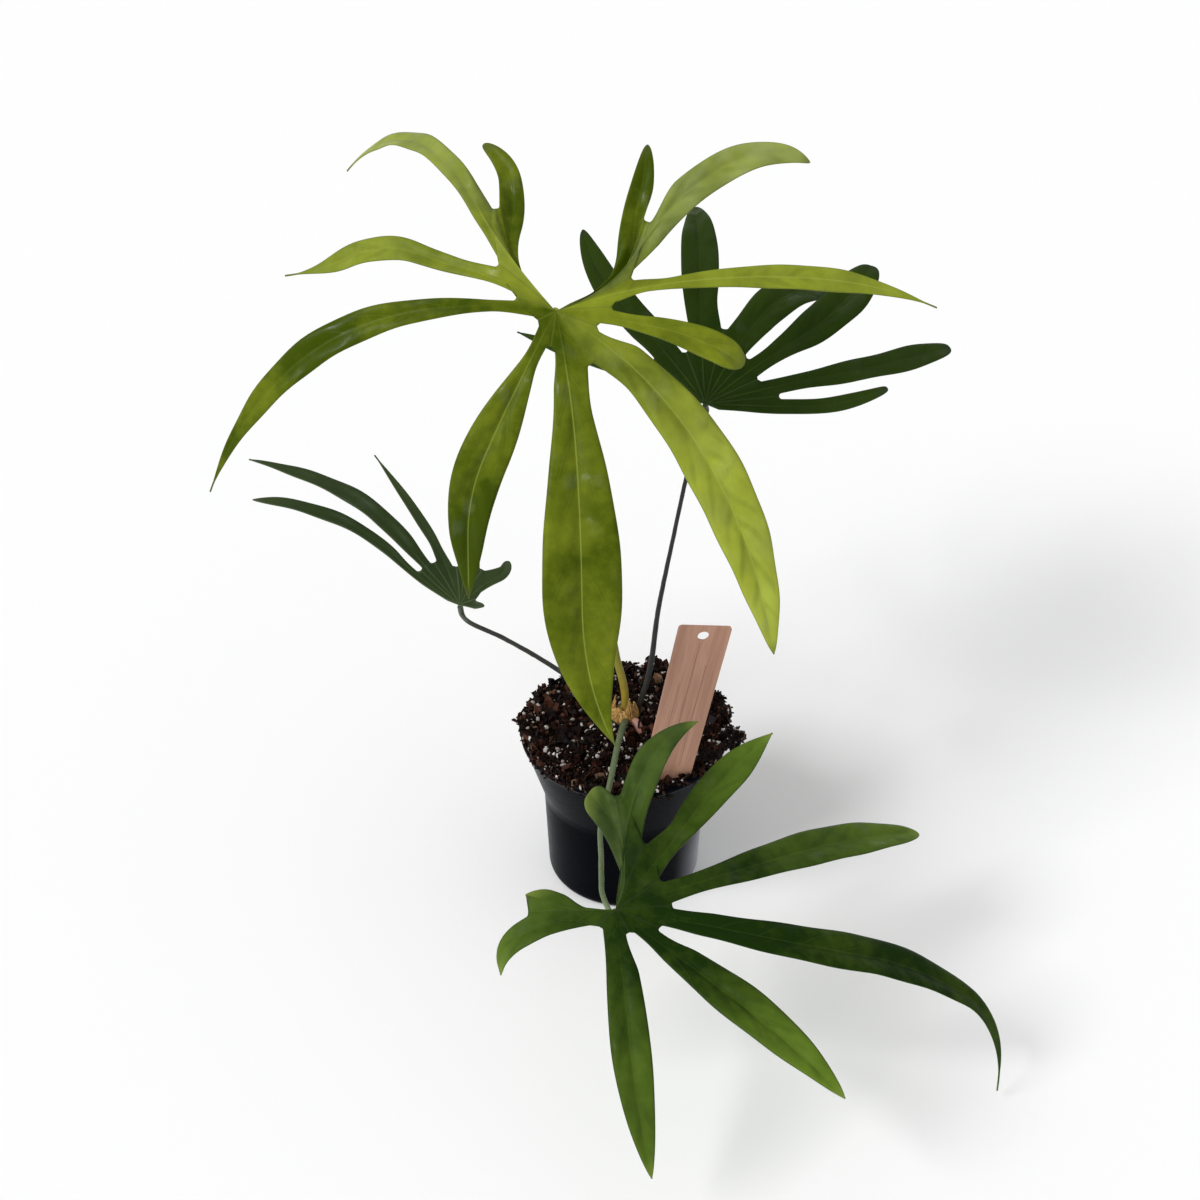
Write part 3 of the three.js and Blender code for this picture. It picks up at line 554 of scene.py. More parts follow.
# %% [markdown]
# ## Blades
#
# Between two lobes the blade is whole as far as their parting, and from there on each
# has a margin of its own. The sheet is built row by row, from the hub out to each tip,
# and neighbouring lobes share the line of points that runs midway between them. The
# rows lie close together where a lobe starts and ends, and the columns lie close
# together at the midrib, because that is where the form changes quickly. Real sinuses
# are round at the bottom, so both margins draw back from a parting along a quarter of a
# circle.
#
# The sheet gets an upper and a lower layer at once, closed by a thin wall along the
# margin. Each point also keeps what the next steps need: how far along and across its
# lobe it lies, how wide the lobe is there, and which way is up.

# %% Margins
WEB_ROWS = 22  # rows from the hub to a parting
FREE_ROWS = 84  # rows from a parting to the tip
COLUMNS = 10  # columns from the midrib to a margin
ROW_CROWDING, COLUMN_CROWDING = 0.75, 1.6
ROOT_LENGTH, ROOT_SHARE = 7, 0.8  # where the two outermost margins leave the hub
EASE_LENGTH, EASE_SHARE = 18, 0.6  # the most over which a margin leaves its parting
SLIT = 0.8  # half the gap that is kept between neighbouring lobes
SINUS_RADIUS = 1.5
FOLD = 0.16  # rise of each half blade towards its margin, per mm of width
WAVE_LENGTH, WAVY_HALF = 34, 8  # the margin's waves, in full where a lobe is wide
ARCH = 0.07  # how far each half blade bulges between midrib and margin
TIP_LENGTH = 9  # how much of a lobe's end takes the colour of its tip
TONE_CURVE = 1.5


def smooth_step(x):
    x = np.clip(x, 0, 1)
    return x * x * (3 - 2 * x)


def tone(leaf, i, share):
    """How fresh a lobe's green is at a share of its length, with painted light and shade mixed in.
    """
    at_hub, at_tip = leaf["tones"][i]
    return at_hub + (at_tip - at_hub) * np.clip(share, 0, 1) ** TONE_CURVE


def lobe_side(leaf, ribs, i, side, line, web, spread):
    """One margin of a lobe, from the hub to the tip, with its widths and tones.

    As far as the parting it runs along the line that the two lobes share. From there it
    eases into a course of its own, as wide as the lobe and the gap to the next allow.
    """
    rib = ribs[i]
    parting = line["parting"] if line else ROOT_LENGTH
    near, far = web * parting, parting + (rib.length - parting) * spread
    ease = smooth_step((far - parting) / min(EASE_LENGTH, (rib.length - parting) * EASE_SHARE))
    full, fresh = rib.half_width(far), tone(leaf, i, far / rib.length)
    if line:
        neighbour = ribs[i + side]
        corner = (rib.at(parting) + neighbour.at(parting)) / 2
        offset, across = corner - rib.at(parting), rib.directions(parting)[1]
        start_half = side * np.sum(offset * across)
        offset = offset - side * start_half * across
        apart = np.linalg.norm(rib.at(far) - neighbour.at(far), axis=1)
        full = np.minimum(full, apart / 2 - SLIT * ease)
    else:
        start_half, offset = rib.half_width(parting) * ROOT_SHARE, np.zeros((1, 3))
    half = start_half + (full - start_half) * ease
    if line:
        into = 1 - np.clip((far - parting) / SINUS_RADIUS, 0, 1)
        half = half - SINUS_RADIUS * np.sqrt(1 - into ** 2) * (1 - ease)
    lift = half * FOLD * ease
    lift += rib.wave * np.minimum(half / WAVY_HALF, 1) * ease * np.sin(
        2 * np.pi * far / WAVE_LENGTH + side)
    _, across, up = rib.directions(far)
    edge = rib.at(far) + side * across * half[:, None] + up * lift[:, None]
    edge = edge + offset * (1 - ease)[:, None]
    if line:
        edge = edge + (line["points"][-1] - corner[0]) * (1 - ease)[:, None]
        web_edge = line["points"]
        web_half = np.linalg.norm(web_edge - rib.at(near), axis=1)
        fresh = fresh + (line["tone"][-1] - fresh[0]) * (1 - ease)
        whole, web_tone = np.zeros(WEB_ROWS), line["tone"]
    else:
        web_half = rib.half_width(np.array([parting])) * ROOT_SHARE * web
        web_edge = rib.at(near) + side * rib.directions(near)[1] * web_half[:, None]
        whole, web_tone = web, tone(leaf, i, near / rib.length)
        ease = np.ones(FREE_ROWS)
    return {"distance": np.concatenate([near, far]), "edge": np.vstack([web_edge, edge]),
            "half": np.concatenate([web_half, half]),
            "free": np.concatenate([whole, ease]),
            "tone": np.concatenate([web_tone, fresh]), "line": line}


print("margins leave the hub in", WEB_ROWS, "and", FREE_ROWS, "rows")

# %% Blade sheets
class Sheet:
    """Points of one layer, with what each of them keeps for the next steps."""

    KEPT = ("along", "across", "half", "lean", "tip", "tone", "paleness", "bloom")

    def __init__(self):
        self.points, self.ups, self.count = [], [], 0
        self.kept = {label: [] for label in self.KEPT}

    def add(self, points, ups, **kept):
        first, size = self.count, len(points)
        self.points.append(points)
        self.ups.append(ups)
        for label in self.KEPT:
            self.kept[label].append(np.broadcast_to(kept.get(label, 0.0), size))
        self.count += size
        return np.arange(first, self.count)


def shared_lines(sheet, leaf, ribs, web):
    """The points midway between neighbouring midribs, out to their parting."""
    lines = []
    for k, parting in enumerate(leaf["partings"]):
        distance = web * parting
        left, right = ribs[k], ribs[k + 1]
        a, b = left.at(distance), right.at(distance)
        up = left.directions(distance)[2] + right.directions(distance)[2]
        up /= np.linalg.norm(up, axis=1)[:, None]
        half = np.linalg.norm(a - b, axis=1) / 2
        middle = (a + b) / 2 + up * (ARCH * half)[:, None]
        fresh = (tone(leaf, k, distance / left.length)
                 + tone(leaf, k + 1, distance / right.length)) / 2
        pale, bloom = (sum(leaf[key][k:k + 2]) / 2 for key in ("ribs", "bloom"))
        ids = sheet.add(middle, up, along=distance, across=half, half=half, tone=fresh,
                        paleness=pale, bloom=bloom)
        lines.append({"ids": ids, "points": middle, "parting": parting, "tone": fresh})
    return lines


def lobe_table(sheet, leaf, ribs, i, lines, web, spread):
    """The lobe's points as a table: a row for each station, a column from left to right."""
    rib = ribs[i]
    sides = {-1: lines[i - 1] if i > 0 else None, 1: lines[i] if i < len(lines) else None}
    sides = {side: lobe_side(leaf, ribs, i, side, line, web, spread)
             for side, line in sides.items()}
    middle = (sides[-1]["distance"] + sides[1]["distance"]) / 2
    spine, spine_up = rib.at(middle), rib.directions(middle)[2]
    spine_tone = tone(leaf, i, middle / rib.length)
    tip = smooth_step((middle - rib.length + TIP_LENGTH) / TIP_LENGTH)
    whole_lobe = {"paleness": leaf["ribs"][i], "bloom": leaf["bloom"][i]}
    grid = {0: sheet.add(spine, spine_up, along=middle, tip=tip, tone=spine_tone,
                         half=(sides[-1]["half"] + sides[1]["half"]) / 2, **whole_lobe)}
    for side, data in sides.items():
        edge_up = rib.directions(data["distance"])[2]
        for c in range(1, COLUMNS + 1):
            t = (c / COLUMNS) ** COLUMN_CROWDING
            start = WEB_ROWS if c == COLUMNS and data["line"] else 0
            bulge = ARCH * data["half"] * (
                np.sin(np.pi * t) * data["free"]
                + (np.sin(np.pi * t / 2) ** 2 - t) * (1 - data["free"]))
            up = spine_up + (edge_up - spine_up) * t
            points = spine + (data["edge"] - spine) * t + up * bulge[:, None]
            keeps = {"along": middle + (data["distance"] - middle) * t,
                     "across": data["half"] * t, "half": data["half"],
                     "lean": side * data["free"], "tip": tip,
                     "tone": spine_tone + (data["tone"] - spine_tone) * t}
            keeps = {label: values[start:] for label, values in keeps.items()}
            new = sheet.add(points[start:], up[start:], **keeps, **whole_lobe)
            grid[side * c] = np.concatenate([data["line"]["ids"], new]) if start else new
    return np.stack([grid[c] for c in range(-COLUMNS, COLUMNS + 1)], axis=1)


def closed_sheet(upper, count):
    """Faces of the upper layer, the lower layer, and the wall along their border."""
    border = {}
    for face in upper:
        for a, b in zip(face, face[1:] + face[:1]):
            if (b, a) in border:
                del border[(b, a)]
            else:
                border[(a, b)] = True
    lower = [tuple(v + count for v in reversed(face)) for face in upper]
    return upper + lower + [(b, a, a + count, b + count) for a, b in border]


def blade_sheet(name):
    leaf, ribs = LEAVES[name], ribs_of[name]
    share = np.arange(1, FREE_ROWS + 1) / FREE_ROWS
    spread = share - ROW_CROWDING * np.sin(2 * np.pi * share) / (2 * np.pi)
    web = np.arange(1, WEB_ROWS + 1) / WEB_ROWS
    sheet = Sheet()
    sheet.add(np.array([leaf["hub"]], float), blade_axes(leaf)[2][None], half=1.0,
              tone=np.mean([pair[0] for pair in leaf["tones"]]))
    lines = shared_lines(sheet, leaf, ribs, web)
    faces = []
    for i in range(len(ribs)):
        table = lobe_table(sheet, leaf, ribs, i, lines, web, spread)
        near, far = table[:-1], table[1:]
        quads = np.stack([near[:, :-1], far[:, :-1], far[:, 1:], near[:, 1:]], -1)
        faces += [tuple(face) for face in quads.reshape(-1, 4).tolist()]
        faces += [(0, a, b) for a, b in zip(table[0].tolist(), table[0, 1:].tolist())]
    points, ups = np.vstack(sheet.points), np.vstack(sheet.ups)
    ups /= np.linalg.norm(ups, axis=1)[:, None]
    kept = {label: np.tile(np.concatenate(values), 2) for label, values in sheet.kept.items()}
    return mesh_of("blade_" + name, np.vstack([points, points]),
                   closed_sheet(faces, sheet.count), up=np.vstack([ups, ups]),
                   face=np.repeat([1.0, -1.0], sheet.count), **kept)


sheets = {name: blade_sheet(name) for name in LEAVES}
for name, sheet in sheets.items():
    print("sheet", name, "has", len(sheet.polygons), "faces")

# %% [markdown]
# ## Veins and thickness, by a rule
#
# Side veins leave the midrib at a slant, one after another all the way to the tip, and
# bend forward before they reach the margin. Between them the blade is puffed up a
# little. They could be sculpted one by one, but they follow a rule, so Geometry Nodes
# raise them: each point knows where it lies along and across its lobe, which gives the
# distance to the nearest side vein. The same tree raises the midrib, more below than
# above, and thins the blade towards its margin.

# %% Relief rule
VEIN_SLANT, VEIN_BEND = 1.95, 0.45  # mm forward for each mm outward, and the bend
VEIN_STAGGER = 0.22  # how far the veins of one half lag behind the other's
THINNEST_HALF = 0.3
RELIEF = {"Vein_spacing": 21.0, "Quilt_height": 0.95, "Rib_height": 0.28, "Rib_below": 0.55,
          "Rib_width": 0.55, "Body": 0.62, "Margin": 0.34, "Seed": 3.0}


def vein_phase(along, across, half, lean, spacing):
    """Counts the side veins: whole numbers are veins, halves lie between two of them."""
    forward = across * VEIN_SLANT + across * across / half * VEIN_BEND
    return (along - forward) / spacing + lean * VEIN_STAGGER


def relief_rule():
    rule = Rule("blade_relief", **RELIEF)
    given = rule.given
    along, across, half, lean, face = (
        rule.attribute(name) for name in ("along", "across", "half", "lean", "face"))
    half = rule.math("MAXIMUM", half, THINNEST_HALF)
    out = rule.math("DIVIDE", across, half, clamp=True)

    drift = rule.noise(38.0, 1.0, seed=given["Seed"])
    phase = vein_phase(along, across, half, lean, given["Vein spacing"]) + drift * 0.9
    puffed = abs(rule.math("SINE", rule.math("FRACT", phase) * math.pi))
    room = rule.ramp(out, 0.0, 0.3) * rule.ramp(out, 1.0, 0.62)
    size = rule.ramp(half, 1.5, 14.0) * rule.ramp(along, 6.0, 45.0)
    strength = rule.ramp(rule.noise(26.0, 1.0, seed=given["Seed"]), 0.35, 0.68, 0.35, 1.25)
    quilt = puffed * room * (size * strength) * given["Quilt height"]

    from_rib = across / given["Rib width"]
    near_rib = rule.math("EXPONENT", from_rib * from_rib * -1.0)
    fading = rule.ramp(half, 0.3, 3.0) * near_rib * rule.ramp(along, 3.0, 35.0, 0.35, 1.0)
    below = rule.math("LESS_THAN", face, 0.0)
    rib = fading * (given["Rib height"] + below * given["Rib below"])

    thin = rule.ramp(out, 0.75, 1.0)
    thickness = given["Body"] + thin * (given["Margin"] - given["Body"])
    lift = (face * (thickness * 0.5 + rib) + quilt) * MM
    up = rule.attribute("up", "FLOAT_VECTOR")
    return rule.close(rule.moved(given["Geometry"], rule.scaled(up, lift)))


blade_relief = relief_rule()

# %% [markdown]
# ## Leaf finishes
#
# A leaf has a waxy skin over soft green tissue. Close up there is a pale midrib, finer
# side veins with painted shade along their grooves, patches of deeper and lighter green,
# a thin dark edge, painted whitish sheen here and there, and a fine grain of cells that
# breaks up the gloss, with waxier spots that shine more. All of that is mixed from noise
# and from the places that the points keep, so it follows each lobe however it bends. The
# underside is paler and duller. The youngest leaf is still yellow-green, and the older
# ones are dark.

# %% Leaf finishes
# painted sheen: the whitish colour mixed into lobes where the bright room would be reflected
PAINTED_SHEEN = linear(170, 184, 150)


def leaf_finish(name, colours, spacing, rib_near, rib_far, gloss, sheen, shine=3.0):
    """Tissue, veins, margin and underside, mixed from noise and the points' places."""
    deep, fresh, vein, edge, tip_end, under = colours
    skin = Finish(name)
    along, across, half, lean, tip, tone_with_painted_light, pale, bloom, face = (
        skin.attribute(label) for label in (*Sheet.KEPT, "face"))
    half = skin.math("MAXIMUM", half, THINNEST_HALF)
    out = skin.math("DIVIDE", across, half, clamp=True)

    cloud = skin.ramp(skin.noise(22.0, 2.0), 0.3, 0.7, -0.13, 0.13)
    mottle = skin.ramp(skin.noise(150.0, 3.0), 0.3, 0.72, -0.05, 0.07)
    # painted light and shade: the per-lobe tone makes some lobes lighter or darker for how light
    # falls on them, besides their own deep or fresh green
    tissue = skin.mix(skin.math("ADD", tone_with_painted_light, cloud + mottle, clamp=True), deep, fresh)
    # painted sheen: whitish patches, stronger towards the tips, stand in for the bright room
    # reflected in the glossy leaf
    patches = skin.ramp(skin.noise(70.0, 2.0), 0.3, 0.65, 0.45, 1.0)
    bloom = bloom * skin.ramp(along, 30.0, 130.0, 0.25, 1.0) * patches
    tissue = skin.mix(bloom, tissue, PAINTED_SHEEN)

    phase = vein_phase(along, across, half, lean, spacing) + skin.noise(30.0, 1.0) * 1.2
    off = abs(skin.math("FRACT", phase) - 0.5)
    inside = skin.ramp(out, 0.95, 0.7) * skin.ramp(half, 2.0, 6.0)
    patchy = inside * skin.ramp(skin.noise(40.0, 1.0), 0.4, 0.6)
    # painted shade: the tissue is darkened along each side vein, in the groove that would lie in
    # shadow
    tissue = skin.mix(skin.ramp(off, 0.22, 0.48) * 0.24 * patchy, tissue, deep)
    tissue = skin.mix(skin.ramp(off, 0.46, 0.497) * 0.07 * patchy, tissue, vein)

    rib = skin.ramp(across, 0.42, 0.2) * skin.ramp(half, 0.6, 3.0)
    strength = skin.ramp(along, 8.0, 45.0, rib_near, rib_far) * pale
    tissue = skin.mix(rib * strength, tissue, vein)
    tissue = skin.mix(skin.ramp(half - across, 0.5, 0.12) * 0.45, tissue, edge)
    tissue = skin.mix(tip * 0.6, tissue, tip_end)
    lower = skin.math("LESS_THAN", face, 0.0)
    skin.set("Base Color", skin.mix(lower, tissue, skin.mix(rib * 0.6, under, vein)))

    dull = skin.ramp(skin.noise(420.0, 4.0), 0.25, 0.75, gloss - 0.05, gloss + 0.09)
    wax = skin.ramp(skin.noise(60.0, 1.0), 0.56, 0.76) * inside
    skin.set("Roughness", dull - wax * 0.1 + lower * 0.16)
    skin.set("Specular IOR Level", skin.ramp(wax, 0.0, 1.0, sheen, sheen * shine))
    cells = skin.node("ShaderNodeTexVoronoi", {"Vector": skin.place, "Scale": 2600.0})
    skin.bump((wax, 0.0006), (cells, 0.00004), (skin.noise(700.0, 3.0), 0.00008))
    return skin


# deep and fresh tissue, veins, edge, tip and underside
YOUNG = ((0.044, 0.07, 0.0006, 1), (0.37, 0.43, 0.03, 1), linear(172, 186, 92),
         linear(98, 106, 44), linear(84, 92, 50), linear(150, 164, 92))
DARK = ((0.010, 0.026, 0.0006, 1), (0.031, 0.056, 0.003, 1), linear(96, 116, 62),
        linear(62, 76, 50), linear(44, 52, 36), linear(112, 128, 92))
LEFT = ((0.016, 0.03, 0.006, 1), (0.037, 0.057, 0.017, 1), linear(92, 112, 62),
        linear(84, 98, 66), linear(70, 82, 60), linear(150, 160, 130))
MID = ((0.0075, 0.023, 0.001, 1), (0.125, 0.205, 0.019, 1), linear(108, 136, 60),
       linear(48, 58, 38), linear(120, 136, 60), linear(120, 144, 96))
SKINS = {  # the slot, the material, its colours, and the numbers that leaf_finish takes
    "1": ("young_leaf", "young_leaf_skin", YOUNG, 21.0, 0.05, 0.32, 0.3, 0.055, 6.0),
    "2": ("dark_leaf", "dark_leaf_skin", DARK, 18.0, 0.2, 0.04, 0.4, 0.06),
    "3": ("dark_leaf", "left_leaf_skin", LEFT, 18.0, 0.3, 0.05, 0.4, 0.11),
    "4": ("mid_leaf", "mid_leaf_skin", MID, 20.0, 0.01, 0.06, 0.42, 0.05),
}
for name, (slot, *look) in SKINS.items():
    blade = grown("leaf_blade_" + name, sheets[name], blade_relief, leaf_finish(*look),
                  Seed=float(name))
    joins(blade, slot, "blade_" + name)

# %% [markdown]
# ## Petioles
#
# A petiole is the stalk of one leaf. It leaves the crown, arches over, and bends up
# square to its blade, with a short swollen joint just below it. Such a thing is best
# made as a line and a section: the script lays a smooth line through a few points, and
# Geometry Nodes sweep a circle along it, with a radius that shrinks towards the top and
# swells at the joint.

# %% Petiole lines
def smooth_line(points, samples):
    """Evenly spaced points on a centripetal Catmull-Rom curve through the given ones."""
    points = np.array(points, float)
    ends = [2 * points[0] - points[1], *points, 2 * points[-1] - points[-2]]
    dense = []
    for p0, p1, p2, p3 in zip(ends, ends[1:], ends[2:], ends[3:]):
        d0, d1, d2 = (np.linalg.norm(b - a) ** 0.5 for a, b in ((p0, p1), (p1, p2), (p2, p3)))
        t1 = ((p1 - p0) / d0 - (p2 - p0) / (d0 + d1) + (p2 - p1) / d1) * d1
        t2 = ((p2 - p1) / d1 - (p3 - p1) / (d1 + d2) + (p3 - p2) / d2) * d1
        t = np.linspace(0, 1, 60, endpoint=False)[:, None]
        dense.append(p1 + t1 * t + (-3 * p1 + 3 * p2 - 2 * t1 - t2) * t ** 2
                     + (2 * p1 - 2 * p2 + t1 + t2) * t ** 3)
    dense = np.vstack([*dense, points[-1:]])
    length = np.concatenate([[0], np.cumsum(np.linalg.norm(np.diff(dense, axis=0), axis=1))])
    marks = np.linspace(0, length[-1], samples)
    return np.stack([np.interp(marks, length, dense[:, i]) for i in range(3)], 1)


def line_mesh(name, points):
    """A mesh of edges only, through points in millimetres."""
    mesh = bpy.data.meshes.new(name)
    mesh.from_pydata((points * MM).tolist(), [(i, i + 1) for i in range(len(points) - 1)], [])
    return mesh


PETIOLES = {  # points on the way up, and the radius at the foot and at the top
    "1": ([[0, 2, 90], [0, 3, 108], [-4.5, 7, 128], [-8.5, 8.5, 160], [-17, 9, 220],
           [-28.5, 11, 290]], 2.0, 1.5),
    "2": ([[4.5, 4.5, 88], [12, 11.5, 112], [16.5, 18, 148], [23, 27, 182], [29.5, 37, 213],
           [35.5, 46, 235]], 1.5, 1.05),
    "3": ([[-3.5, 1, 90], [-9, 3, 99], [-33, 8, 117.5], [-59, 4, 140], [-76, 1, 152.5]],
          1.4, 1.15),
    "4": ([[1.5, -1.5, 91], [0, -8.2, 97.4], [-3, -24.2, 98.6], [-7, -55.9, 101.5],
           [-12, -94.6, 104.5], [-11.7, -117, 105.5], [-11.6, -130.3, 105.3],
           [-11.2, -139.1, 104.3]], 1.7, 1.25),
}
BEND_DEPTH, HUB_DEPTH = 7, 0.95  # below the hub: where a petiole turns up, and its end
petiole_lines = {}
for name, (route, _, _) in PETIOLES.items():
    hub, up = np.array(LEAVES[name]["hub"], float), blade_axes(LEAVES[name])[2]
    route = route + [hub - up * BEND_DEPTH, hub - up * HUB_DEPTH]
    petiole_lines[name] = smooth_line(route, 150)
    steps = np.diff(petiole_lines[name], axis=0)
    print("petiole", name, "is", round(float(np.linalg.norm(steps, axis=1).sum())), "mm long")

# %% Petiole rule
def swept_rule(name, sides=18):
    """A round bar along a line: foot and top radius, a swollen end, and unevenness."""
    rule = Rule(name, Foot_radius=2.0, Top_radius=1.5, Slim_by=0.625, Swelling=1.25,
                Grain=220.0, Unevenness=0.3)
    given = rule.given
    curve = rule.node("GeometryNodeMeshToCurve", {"Mesh": given["Geometry"]})
    share = rule.node("GeometryNodeSplineParameter", out="Factor")
    slim = rule.ramp(share, 0.0, given["Slim by"])
    radius = given["Foot radius"] + slim * (given["Top radius"] - given["Foot radius"])
    swollen = rule.ramp(share, 0.915, 0.97) * (given["Swelling"] - 1.0)
    radius = radius * (swollen + 1.0) * MM
    curve = rule.store(curve, "reach", share)
    ring = rule.node("GeometryNodeCurvePrimitiveCircle", {"Resolution": sides, "Radius": 1.0})
    tube = rule.node("GeometryNodeCurveToMesh", {
        "Curve": curve, "Profile Curve": ring, "Scale": radius, "Fill Caps": True})
    tube = rule.roughened(tube, given["Unevenness"] * MM, given["Grain"], 2.0)
    return rule.close(rule.node("GeometryNodeSetShadeSmooth", {"Geometry": tube}))


stalk_rule = swept_rule("swept_stalk")


def stalk_finish(name, foot, middle, top, gloss=0.38):
    """A smooth stalk whose colour changes from its foot to its blade."""
    skin = Finish(name, Specular_IOR_Level=0.3)
    reach = skin.attribute("reach")
    colour = skin.mix(skin.ramp(reach, 0.02, 0.22), foot, middle)
    colour = skin.mix(skin.ramp(reach, 0.86, 0.96), colour, top)
    streaks = skin.noise(900.0, vector=skin.stretched((1, 1, 0.12)))
    skin.set("Base Color", skin.mix(skin.ramp(streaks, 0.35, 0.75, 0.0, 0.35), colour, top))
    skin.set("Roughness", skin.ramp(skin.noise(500.0), 0.3, 0.7, gloss, gloss + 0.12))
    skin.bump((streaks, 0.00012), (skin.noise(1500.0), 0.00005))
    return skin


STALKS = {  # the slot, the material, and the colours of foot, middle and top
    "1": ("young_petiole", "olive_stalk", (150, 120, 40), (120, 126, 40), (146, 156, 60)),
    "2": ("dark_petiole", "near_black_stalk", (46, 44, 40), (44, 44, 48), (58, 66, 48)),
    "3": ("dark_petiole", "dark_stalk", (52, 50, 44), (50, 52, 50), (74, 82, 66)),
    "4": ("grey_petiole", "grey_stalk", (58, 66, 40), (84, 98, 62), (128, 140, 108)),
}
for name, (slot, material, *colours) in STALKS.items():
    _, foot, top = PETIOLES[name]
    finish = stalk_finish(material, *(linear(*colour) for colour in colours))
    stalk = grown("leaf_stalk_" + name, line_mesh("line", petiole_lines[name]), stalk_rule,
                  finish, Foot_radius=foot, Top_radius=top)
    joins(stalk, slot, "petiole_" + name)

# %% [markdown]
# ## Pot
#
# A thin nursery pot, blown or moulded from black plastic: a plain cup whose upper third
# flares out into a collar with a rolled lip, and eight drain holes in the floor. It is
# round, so its profile is turned about the axis. Each corner of the profile is first
# rounded off, because plastic has no sharp edges and it is the roundings that catch the
# light. The holes are cut by a boolean with eight rods.

# %% Turned pieces
def rounded(profile, radius, steps=5):
    """The profile with each inner corner replaced by a short curve."""
    profile = [np.array(p, float) for p in profile]
    out = [profile[0]]
    for before, corner, after in zip(profile, profile[1:], profile[2:]):
        back, ahead = np.linalg.norm(before - corner), np.linalg.norm(after - corner)
        reach = min(radius, back * 0.45, ahead * 0.45)
        a, b = (corner + (before - corner) / back * reach,
                corner + (after - corner) / ahead * reach)
        for t in np.linspace(0, 1, steps):
            out.append(a * (1 - t) ** 2 + 2 * corner * t * (1 - t) + b * t * t)
    return np.array(out + [profile[-1]])


def divided(profile, step):
    """The profile with no stretch longer than the step."""
    out = [profile[0]]
    for a, b in zip(profile, profile[1:]):
        count = max(1, int(np.ceil(np.linalg.norm(b - a) / step)))
        out += [a + (b - a) * i / count for i in range(1, count + 1)]
    return np.array(out)


def turned_about(profile, segments):
    """Points and faces of a profile turned about the Z axis. It starts and ends there."""
    turn = 2 * np.pi * np.arange(segments) / segments
    rings = [ring(radius, turn, height) for radius, height in profile[1:-1]]
    return around_axis(rings, profile[0][1], profile[-1][1])


print("profiles can be rounded, divided and turned")

# %% Pot
POT = {"height": 87, "base": 38.5, "foot_round": 3.5, "collar_foot": 53,
       "collar_radius": 41.3, "rim": 52, "lip": 1.2, "wall": 1.3, "floor": 2}
INNER_FOOT = POT["base"] - POT["wall"]
INNER_COLLAR = POT["collar_radius"] - POT["wall"]
INNER_RIM = POT["rim"] - POT["lip"] - POT["wall"]
LIP_FOOT = POT["height"] - 3 * POT["lip"]
BEVEL = 1.75  # of the inner corner of the floor
HOLES, HOLE_RADIUS, HOLE_RING = 8, 3.5, 28
pot_profile = [
    (0, 0), (POT["base"] - POT["foot_round"], 0), (POT["base"] - 1.05, 1.05),
    (POT["base"], POT["foot_round"]), (POT["collar_radius"] - 0.8, POT["collar_foot"] - 4),
    (POT["collar_radius"], POT["collar_foot"]), (POT["rim"] - POT["lip"], LIP_FOOT),
    (POT["rim"], POT["height"] - 2 * POT["lip"]), (POT["rim"], POT["height"] - 0.6),
    (POT["rim"] - 0.6, POT["height"]), (INNER_RIM, POT["height"]), (INNER_RIM, LIP_FOOT),
    (INNER_COLLAR, POT["collar_foot"]), (INNER_FOOT, POT["foot_round"] + POT["floor"]),
    (INNER_FOOT - BEVEL, POT["floor"]), (0, POT["floor"])]
pot = placed("nursery_pot", mesh_of(
    "nursery_pot", *turned_about(divided(rounded(pot_profile, 1.2), 4.0), 144)))

rod_points, rod_faces = [], []
for i in range(HOLES):
    bearing = 2 * math.pi * (i + 0.5) / HOLES
    points, faces = turned_about(
        [(0, -3), (HOLE_RADIUS, -3), (HOLE_RADIUS, 6), (0, 6)], 24)
    rod_faces += [tuple(v + len(rod_points) for v in face) for face in faces]
    rod_points += (points + [HOLE_RING * math.cos(bearing), HOLE_RING * math.sin(bearing),
                             0]).tolist()
rods = placed("rods", mesh_of("rods", rod_points, rod_faces))
cut = pot.modifiers.new("drain_holes", "BOOLEAN")
cut.operation, cut.solver, cut.object = "DIFFERENCE", "EXACT", rods
pot_mesh = plain_mesh(pot)
pot.modifiers.clear()
pot.data = pot_mesh
bpy.data.objects.remove(rods)
pot_mesh.shade_smooth()
pot_mesh.set_sharp_from_angle(angle=math.radians(50))

plastic = Finish("black_pot_plastic", Specular_IOR_Level=0.02, Sheen_Weight=0.1,
                 Sheen_Roughness=0.25, Sheen_Tint=(0.8, 0.85, 1, 1))
shade = plastic.noise(30.0, 2.0)
black = plastic.mix(plastic.ramp(shade, 0.35, 0.7),
                    (0.0004, 0.0009, 0.0018, 1), (0.0012, 0.002, 0.0036, 1))
x, y, z = plastic.parts(plastic.place)
bearing = plastic.math("ARCTAN2", y, x)
# painted reflection: low on the pot's right side the black turns pale bluish grey, standing in for
# the white floor reflected there
painted_floor_reflection = plastic.ramp(bearing, -0.9, 0.1) * plastic.ramp(bearing, 1.1, 0.1)
painted_floor_reflection = painted_floor_reflection * plastic.ramp(z, 0.065, 0.015) * plastic.ramp(shade, 0.2, 0.6, 0.4, 1.0)
plastic.set("Base Color", plastic.mix(painted_floor_reflection, black, (0.46, 0.46, 0.52, 1)))
scuffs = plastic.noise(260.0, 4.0, vector=plastic.stretched((0.15, 0.15, 6)))
dust = plastic.ramp(plastic.noise(900.0, 4.0), 0.66, 0.8, 0.0, 0.25)
plastic.set("Roughness", plastic.ramp(scuffs, 0.3, 0.75, 0.27, 0.38) + dust)
plastic.bump((scuffs, 0.00006), (plastic.noise(1800.0, 2.0), 0.00003))
joins(pot, "pot_plastic", "pot", skin=plastic)

